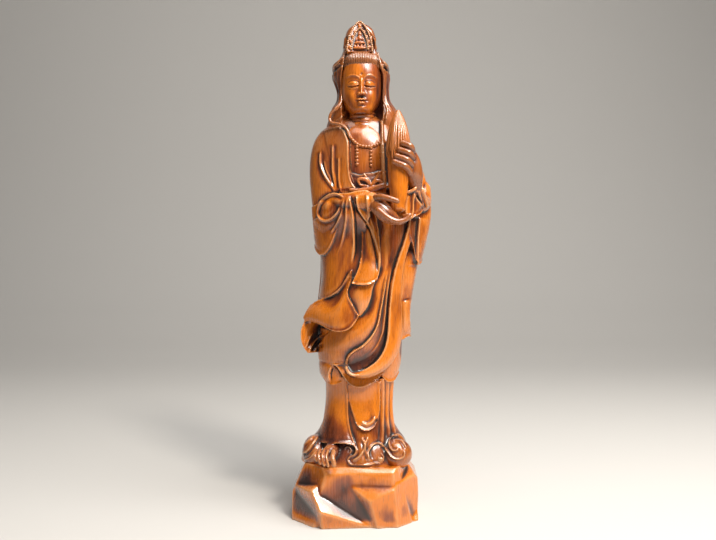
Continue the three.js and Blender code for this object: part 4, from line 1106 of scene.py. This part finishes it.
def makeHead():
    table = smoothTable(head["form"])
    columns, rows = ((head["columns"], head["rows"]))
    share = np.linspace(-1, 1, columns, endpoint=False)
    turns = np.pi * np.sign(share) * np.abs(share) ** 1.5      # closer together at the front
    sine, cosine = np.sin(turns), np.cos(turns)
    rings = []
    for step in np.linspace(0, 1, rows):
        z, halfWidth, front, rear = table(step)
        x = halfWidth * np.sign(sine) * np.abs(sine) ** 0.92
        y = (front + rear) / 2 - (rear - front) / 2 * np.sign(cosine) * np.abs(cosine) ** 0.88
        mask = smoothStep(cosine, -0.1, 0.35) * smoothStep(step, 0.1, 0.17)
        carved = y - faceRelief(x, z) * mask
        rings.append(np.stack([x + head["middle"], carved, np.full(columns, z)], axis=-1))
    return Clay().loft(rings).object("face")


bustForm = uprightForm([
    [262, -22, 32, -24.6, 12],
    [274, -22, 32, -24.0, 12],
    [284, -22, 32, -23.2, 12],
    [292, -22, 32, -22.2, 12],
    [299, -20, 30, -21.0, 12],
    [304, -17, 27, -19.4, 12],
    [308, -13.5, 23.5, -17.4, 11.5],
    [311, -9.8, 19.8, -15.4, 11],
    [314, -7.2, 17.2, -13.8, 10.5],
    [317, -6.2, 16.2, -13.2, 10],
    [323, -5.6, 15.6, -13.0, 9.5],
    [330, -5, 15.2, -11, 9],
])

dress = {
    "voxel": 0.4, "triangles": 80000, "core": (256, 330, 0.4, 160), "ring": 0.7, "ringSpacing": 3.2,
    "front": {"top": [[-2.7, 271.9], [3.3, 270.1], [7.5, 271.3], [14.2, 271.9], [19, 273.7]],
              "left": [[-5, 272.5], [-5, 256]], "right": [[24, 274], [24, 256]],
              "depths": [[-24, -26, -26, -24], [-26, -28, -28, -26]], "thick": 5, "lips": "top"},
    "folds": [
        [[6.5, 271, 0.7], [9, 266, 1.3], [12.5, 261.5, 1.4]],
        [[18.5, 272, 0.7], [15, 266.5, 1.2], [12.5, 262, 1.4]],
        [[12, 261.5, 1.2], [7.5, 266.5, 1.6], [2, 266.5, 1.3], [3.5, 262.5, 1.0], [9, 261.5, 0.9]],
        [[12, 261.5, 1.2], [16, 265.5, 1.5], [20, 264.5, 1.2], [18, 261.5, 0.9]],
        [[-4, 258.5, 1.5], [2, 258, 1.9], [12, 259.5, 2.0], [22, 262, 1.9]],
    ],
}


def neckRings(turns, z):
    wave = np.abs(np.sin((z - 311.6) * np.pi / dress["ringSpacing"])) - 0.5
    return dress["ring"] * wave * smoothStep(z, 310.5, 312.5)


def makeBust():
    # neck and bare chest with two rings round the neck, over the dress with its bow and sash
    clay = Clay()
    formLoft(clay, bustForm, *dress["core"], neckRings)
    drape(clay, **dress["front"])
    for fold in dress["folds"]:
        clay.bar([[x, -28.0, z, radius] for x, z, radius in fold], spacing=0.6)
    return joined(clay, "bust", dress["voxel"], triangles=dress["triangles"])


hair = {
    "voxel": 0.45, "triangles": 60000, "radius": 14.4, "long": 1.17, "back": -3, "knot": [10.5, 11, 12],
    "knotRise": 16,
    # the locks before the ears, as side, y, height and radius
    "lock": [[14.6, -4, 355.4, 2.0], [15.0, -2.5, 350, 2.2], [15.0, -2, 340, 2.0], [14.0, -2, 331, 1.4]],
    "strands": 33, "strandRun": [(-1.2, -0.3), (0.5, 0.5), (3, 0.8), (6, 0.6), (9, 0.0), (12, -1.2)],
}


def bandPlace(turn, rise, off):
    # a place on the band of hair, off its radius, which draws in towards the top
    r = hair["radius"] - 0.06 * np.maximum(rise - 4, 0) ** 2 + off
    x, y = head["middle"] + r * np.sin(turn), hair["back"] - hair["long"] * r * np.cos(turn)
    return np.stack([x, y, head["hairline"] + rise + 0 * turn], axis=-1)


def makeHairMass():
    # the band of hair under the crown, the topknot behind the crown and the locks
    clay = Clay()
    turns = np.linspace(0, 2 * np.pi, 96, endpoint=False)
    rises = np.linspace(-1.5, 12, 20)
    clay.loft([bandPlace(turns, rise, -0.9 * smoothStep(rise, 1, -1.5)) for rise in rises])
    clay.ball([head["middle"], 0, head["hairline"] + hair["knotRise"]], hair["knot"])
    for side in (-1, 1):
        clay.bar([[head["middle"] + side * x, y, z, radius] for x, y, z, radius in hair["lock"]])
    return joined(clay, "hair", hair["voxel"], triangles=hair["triangles"])


def hairPaths():
    return [[bandPlace(turn, rise, off - 0.1) for rise, off in hair["strandRun"]]
            for turn in np.radians(np.linspace(-88, 88, hair["strands"]))]


# The crown: a flame plate with a beaded rim and a small seated figure in an arch, leaning back

crown = {
    "foot": [3.0, -16.5, 369.2], "width": 20.0, "height": 27.6, "lean": 17, "arch": (6.6, 1.5, 21.5),
    "voxel": 0.3, "triangles": 60000, "front": 1.2, "back": -3.0, "dish": 0.9, "beads": 24,
    # side, up and forward of the foot's middle, and half sizes: seat, petals, knees, body, arms, head and
    # topknot
    "figure": [
        [0, 2.8, 1.4, (5.6, 2.0, 1.3)], [1.4, 4.4, 1.8, (1.2, 1.2, 1.2)], [3.9, 4.6, 1.5, (1.1, 1.1, 1.2)],
        [0, 7.2, 1.7, (4.5, 2.1, 1.4)], [0, 10.8, 1.4, (2.3, 1.8, 3.2)], [2.5, 10.0, 1.5, (0.9, 1.1, 2.3)],
        [0, 15.2, 1.5, (1.7, 1.7, 1.9)], [0, 17.5, 1.2, (0.9, 1.0, 1.0)],
    ],
    # flames outside the arch and at its point
    "flames": [
        [7.6, 3.6, 1.0, (1.5, 1.0, 1.9)], [7.2, 8.6, 1.0, (1.2, 1.0, 1.9)], [5.6, 13.2, 0.9, (1.1, 0.9, 1.8)],
        [3.8, 17.6, 0.8, (1.0, 0.9, 1.8)], [0, 23, 1.0, (1.4, 1.0, 2.2)],
    ],
}


def crownPlace(x, up, forward):
    # a place on the crown's leaning plane
    tilt = math.radians(crown["lean"])
    footX, footY, footZ = crown["foot"]
    y = footY + up * math.sin(tilt) - forward * math.cos(tilt)
    z = footZ + up * math.cos(tilt) + forward * math.sin(tilt)
    return np.stack([footX + x, y + 0 * x, z + 0 * x], axis=-1)


def flameHalf(share):
    # half the flame's width at a share of its height
    return crown["width"] / 2 * np.clip(1 - share ** 1.9, 0, 1) ** 0.72


def makeCrown():
    clay = Clay()
    rings = []
    for share in np.linspace(0, 0.985, 50):
        half = flameHalf(share) + 0.2
        across = np.linspace(-half, half, 40)
        up = share * crown["height"]
        dish = crown["dish"] * (1 - (across / half) ** 2) ** 0.5 * (share < 0.9)
        front = crownPlace(across, up, crown["front"] - dish)
        rings.append(np.vstack([front, crownPlace(across[::-1], up, crown["back"])]))
    clay.loft(rings, thereAndBack=True)
    for x, up, forward, halves in crown["figure"] + crown["flames"]:
        for side in sorted({-x, x}):
            clay.ball(crownPlace(side, up, forward), halves)
    return joined(clay, "crown", crown["voxel"], 2, triangles=crown["triangles"])


def crownPaths():
    # a beaded rim, and a beaded pointed arch inside it
    up = np.linspace(0.02, 0.98, crown["beads"])
    there = np.concatenate([up, up[::-1]])
    side = np.repeat([-1, 1], crown["beads"])
    halfWidth, foot, top = crown["arch"]
    rim = crownPlace(side * flameHalf(there), there * crown["height"], 1.5)
    arch = crownPlace(side * halfWidth * (1 - there ** 2.2) ** 0.8, mix(foot, top, there), 1.5)
    return [rim, arch]


def bundlePaths():
    paths = []
    for i in range(bundle["strands"]):
        turn = math.radians(-100 + 210 * i / (bundle["strands"] - 1) + rng.uniform(-3, 3))
        end = 0.56 + 0.04 * math.sin(2.1 * i) + rng.uniform(-0.02, 0.02)
        run = []
        for share, r in bundle["strand"] + list(zip((end + 0.04, end), bundle["strandEnd"])):
            swayed = turn + bundle["sway"] * math.sin(5 * share + i)
            run.append(leaning([r * math.sin(swayed), -r * math.cos(swayed), share * bundle["length"]]))
        paths.append(run)
    return paths


necklace = {
    "collar": [[-5, 302], [-3, 299], [2, 294.5], [9.4, 293], [16.6, 295], [21.5, 300], [23, 303]],
    # strings that hang from it, as x, top and end
    "strings": [(0.8, 293, 279), (11.8, 292, 278), (20, 295, 283)], "off": 0.5,
}


def necklacePaths():
    run, _ = curveThrough(necklace["collar"])
    strings = [[[x, z] for z in np.linspace(top, end, 8)] for x, top, end in necklace["strings"]]
    off = necklace["off"]
    return [[around(bustForm, turnOf(bustForm, x, z, off), z, off) for x, z in path]
            for path in [run(np.linspace(0, 1, 20)), *strings]]


# Wood: its figure runs up the figure, hollows are darkened with painted shade, edges are worn light with a
# painted highlight, a band of painted light lies over the skirt, and a grey-brown bloom lies on the shoulders
# and the ground,
# in metres of height: from, over and most, or from, to and most

wood = {
    # the next colour lightens worn edges and is also their painted highlight
    "rim": (0.72, 0.42, 0.20), "bright": (0.62, 0.165, 0.007), "middle": (0.26, 0.053, 0.007),
    # the next colour is the near-black of painted shade in the hollows
    "deep": (0.055, 0.012, 0.005), "crease": (0.004, 0.002, 0.0017), "patina": (0.075, 0.022, 0.017),
    "creaseStrength": 1.6, "rimStrength": 0.45, "shoulders": (0.262, 0.045, 0.6),
    # the skirt band in the next line is painted light: a lighter band over the skirt's height
    "ground": (0.043, 0.072, 0.5), "skirt": (0.072, 0.125, 0.38),
    # noises of the grain: scale, detail, stretch along it and distortion
    "broad": (34, 3, 0.55, 0.8), "streak": (120, 4, 0.07, 0.4), "fine": (620, 3, 0.05, 0),
    "pores": (1500, 1, 0.09, 0),
    "roughness": 0.27, "coat": 1.0, "coatRoughness": 0.16, "grain": 0.25, "grainDepth": 0.0003,
    # its kinds: how much bloom all over, how soft the coat, how strong the worn light edges with their
    # painted highlight
    "kinds": {
        "warm": (0.0, 0.0, 1.0), "dark": (0.6, 0.0, 0.6), "chest": (0.3, 0.0, 0.8),
        "strand": (0.45, 0.3, 0.15), "hair": (0.75, 0.3, 0.2), "face": (0.06, 0.8, 1.0),
    },
}


def newMaterial(name):
    material = bpy.data.materials.new(name)
    material.use_nodes = True
    return material, Nodes(material.node_tree), material.node_tree.nodes["Principled BSDF"].inputs


def makeWood(kind):
    bloom, soft, rims = wood["kinds"][kind]
    material, nodes, surface = newMaterial(kind + "_wood")
    place = nodes.node("ShaderNodeTexCoord", output=3)

    def noise(name):
        scale, detail, stretch, distortion = wood[name]
        mapped = nodes.node("ShaderNodeMapping", Vector=place, Scale=(1, 1, stretch))
        return nodes.node("ShaderNodeTexNoise", Vector=mapped, Scale=scale, Detail=detail,
                          Distortion=distortion)

    def blend(factor, first, second):
        return nodes.node("ShaderNodeMix", {"data_type": "RGBA"}, Factor=factor, A=first, B=(*second, 1))

    broad, streak, fine = noise("broad"), noise("streak"), noise("fine")
    pores = ((noise("pores") - 0.60) * 9).clamped() * 0.35
    height = nodes.node("ShaderNodeSeparateXYZ", output=2, Vector=place)
    hollow = nodes.node("ShaderNodeAttribute", {"attribute_name": "hollowFine"}, output=2)
    broadHollow = nodes.node("ShaderNodeAttribute", {"attribute_name": "hollowBroad"}, output=2)

    # heartwood colours by the figure, darker in broad hollows with painted shade, lighter over the skirt with
    # painted light, with pores
    low, high, most = wood["skirt"]
    paintedSkirtLight = ((height - low) * 60).clamped() * ((high - height) * 60).clamped() * most
    tone = broad * 1.9 + streak * 0.35 + fine * 0.15 - broadHollow * 0.42 - 0.66 + paintedSkirtLight
    stops = [(0.2, wood["deep"]), (0.48, wood["middle"]), (0.80, wood["bright"])]
    colour = nodes.node("ShaderNodeValToRGB", {"stops": stops}, Fac=tone)
    colour = blend(pores, colour, wood["deep"])

    # the bloom, all over or on the shoulders and the ground alone
    low, over, most = wood["shoulders"]
    shoulders = (((height - low) * (1 / over)).clamped() * most * (broad * 1.6 + 0.2)).clamped()
    low, high, most = wood["ground"]
    ground = ((high - height) * 80).clamped() * ((height - low) * 250).clamped() * most
    colour = blend(bloom if bloom else (shoulders + ground).clamped(), colour, wood["patina"])

    # painted shade darkens the hollows, and the edges are worn light with a painted highlight
    hollowShadeMask = (hollow * wood["creaseStrength"] + broadHollow * 0.4 - 0.12).clamped()
    colour = blend(hollowShadeMask, colour, wood["crease"])
    # edges that stand above their surroundings are made lighter: worn light, and a painted highlight
    edge = (hollow * -2.0 - 0.2).clamped() * (wood["rimStrength"] * rims)
    colour = blend(edge, colour, wood["rim"])
    normal = nodes.node("ShaderNodeBump", Height=fine * 0.6 - pores * 0.8, Strength=wood["grain"],
                        Distance=wood["grainDepth"])
    values = {"Base Color": colour, "Roughness": wood["roughness"] + (fine - 0.5) * 0.25 + hollowShadeMask * 0.4,
              "Coat Weight": wood["coat"] * (1 - soft / 2),
              "Coat Roughness": wood["coatRoughness"] + soft * 0.2, "Normal": normal}
    for name, value in values.items():
        feed(material.node_tree, value, surface[name])
    return material


# Making

warm, dark, chest, strand, hairWood, faceWood = [makeWood(kind) for kind in wood["kinds"]]
strands, beads = strandTree(), beadTree()
print("wood and node trees ready")

finishPiece(makeRock(), warm)
finishPiece(makeSkirt(), warm)
robePiece = finishPiece(makeRobe(), warm)
print("rock, skirt and robe carved")
finishPiece(makeHands(), dark)
finishPiece(makeBundle(), warm)
finishPiece(makeHood(), dark)
finishPiece(makeHead(), faceWood)
finishPiece(makeBust(), chest)
finishPiece(makeHairMass(), hairWood)
finishPiece(makeCrown(), faceWood)
print("head, hands and crown carved")

# what is grown along paths: its paths, tree, wood and sizes in units
growth = {
    "hair_strands": (hairPaths, strands, hairWood, {"Radius": 0.8}),
    "bundle_strands": (bundlePaths, strands, strand, {"Radius": 1.05}),
    "crown_beads": (crownPaths, beads, warm, {"Radius": 0.85, "Spacing": 1.65}),
    "necklace": (necklacePaths, beads, strand, {"Radius": 1.4, "Spacing": 2.4}),
}
for name, (paths, tree, material, lengths) in growth.items():
    scaled = {label: length * unit for label, length in lengths.items()}
    finishPiece(grown(name, paths(), tree, Material=material, **scaled), material)
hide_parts("guanyin_figure")
print("strands and beads grown")


# Floor, light and camera

studio = {
    "backdrop": (0.60, 0.585, 0.56), "world": (0.80, 0.82, 0.88), "worldStrength": 0.07,
    "camera": (0.00165, -0.600, 0.196), "lens": 36.9,
    # the paper's profile as y and z, and half its width
    "sweep": [(-6, 0), (0.9, 0), (1.35, 0.12), (1.6, 0.5), (1.7, 1.2), (1.7, 4)], "wide": 5,
    # lamps: place, aim, size, power and colour
    "lamps": {
        "key": [(0.48, -0.70, 1.0), (0.0, 0, 0.2), 0.22, 10.5, (1.0, 0.92, 0.82)],
        "fill": [(-1.2, -1.2, 0.7), (0, 0, 0.2), 1.6, 0.5, (0.9, 0.95, 1.0)],
        "sheen": [(0.43, -0.47, 1.1), (0, 0, 0.1), 0.95, 19, (1.0, 0.98, 0.95)],
        "wall": [(0.0, -0.3, 2.2), (0, 1.6, 0.5), 1.6, 16, (1.0, 0.97, 0.93)],
    },
}


def makeStudio():
    # one sheet of paper, flat under the rock and curved up behind it
    profile, _ = curveThrough(studio["sweep"])
    rows = profile(np.linspace(0, 1, 60))
    corners = [(x, y, max(z, 0)) for y, z in rows for x in (-studio["wide"], studio["wide"])]
    faces = [(2 * k, 2 * k + 1, 2 * k + 3, 2 * k + 2) for k in range(len(rows) - 1)]
    mesh = bpy.data.meshes.new("backdrop")
    mesh.from_pydata(corners, [], faces)
    paper, _, surface = newMaterial("paper")
    surface["Base Color"].default_value = (*studio["backdrop"], 1)
    surface["Roughness"].default_value = 0.8
    mesh.materials.append(paper)
    mesh.shade_smooth()
    placed("backdrop", mesh)
    world = bpy.data.worlds.new("studio")
    world.use_nodes = True
    background = world.node_tree.nodes["Background"].inputs
    background["Color"].default_value = (*studio["world"], 1)
    background["Strength"].default_value = studio["worldStrength"]
    bpy.context.scene.world = world
    for name, (place, aim, size, power, colour) in studio["lamps"].items():
        lamp = bpy.data.lights.new(name, "AREA")
        lamp.shape = "DISK"
        lamp.size, lamp.energy, lamp.color = size, power, colour
        holder = placed(name, lamp)
        holder.location = place
        holder.rotation_euler = (Vector(aim) - Vector(place)).to_track_quat("-Z", "Y").to_euler()
    camera = placed("camera", bpy.data.cameras.new("camera"))
    camera.data.lens = studio["lens"]
    camera.data.clip_start = 0.01
    camera.location = studio["camera"]
    camera.rotation_euler = (math.radians(90), 0, 0)
    bpy.context.scene.camera = camera
    bpy.context.scene.view_settings.view_transform = "Standard"


makeStudio()
print("floor, light and camera set")
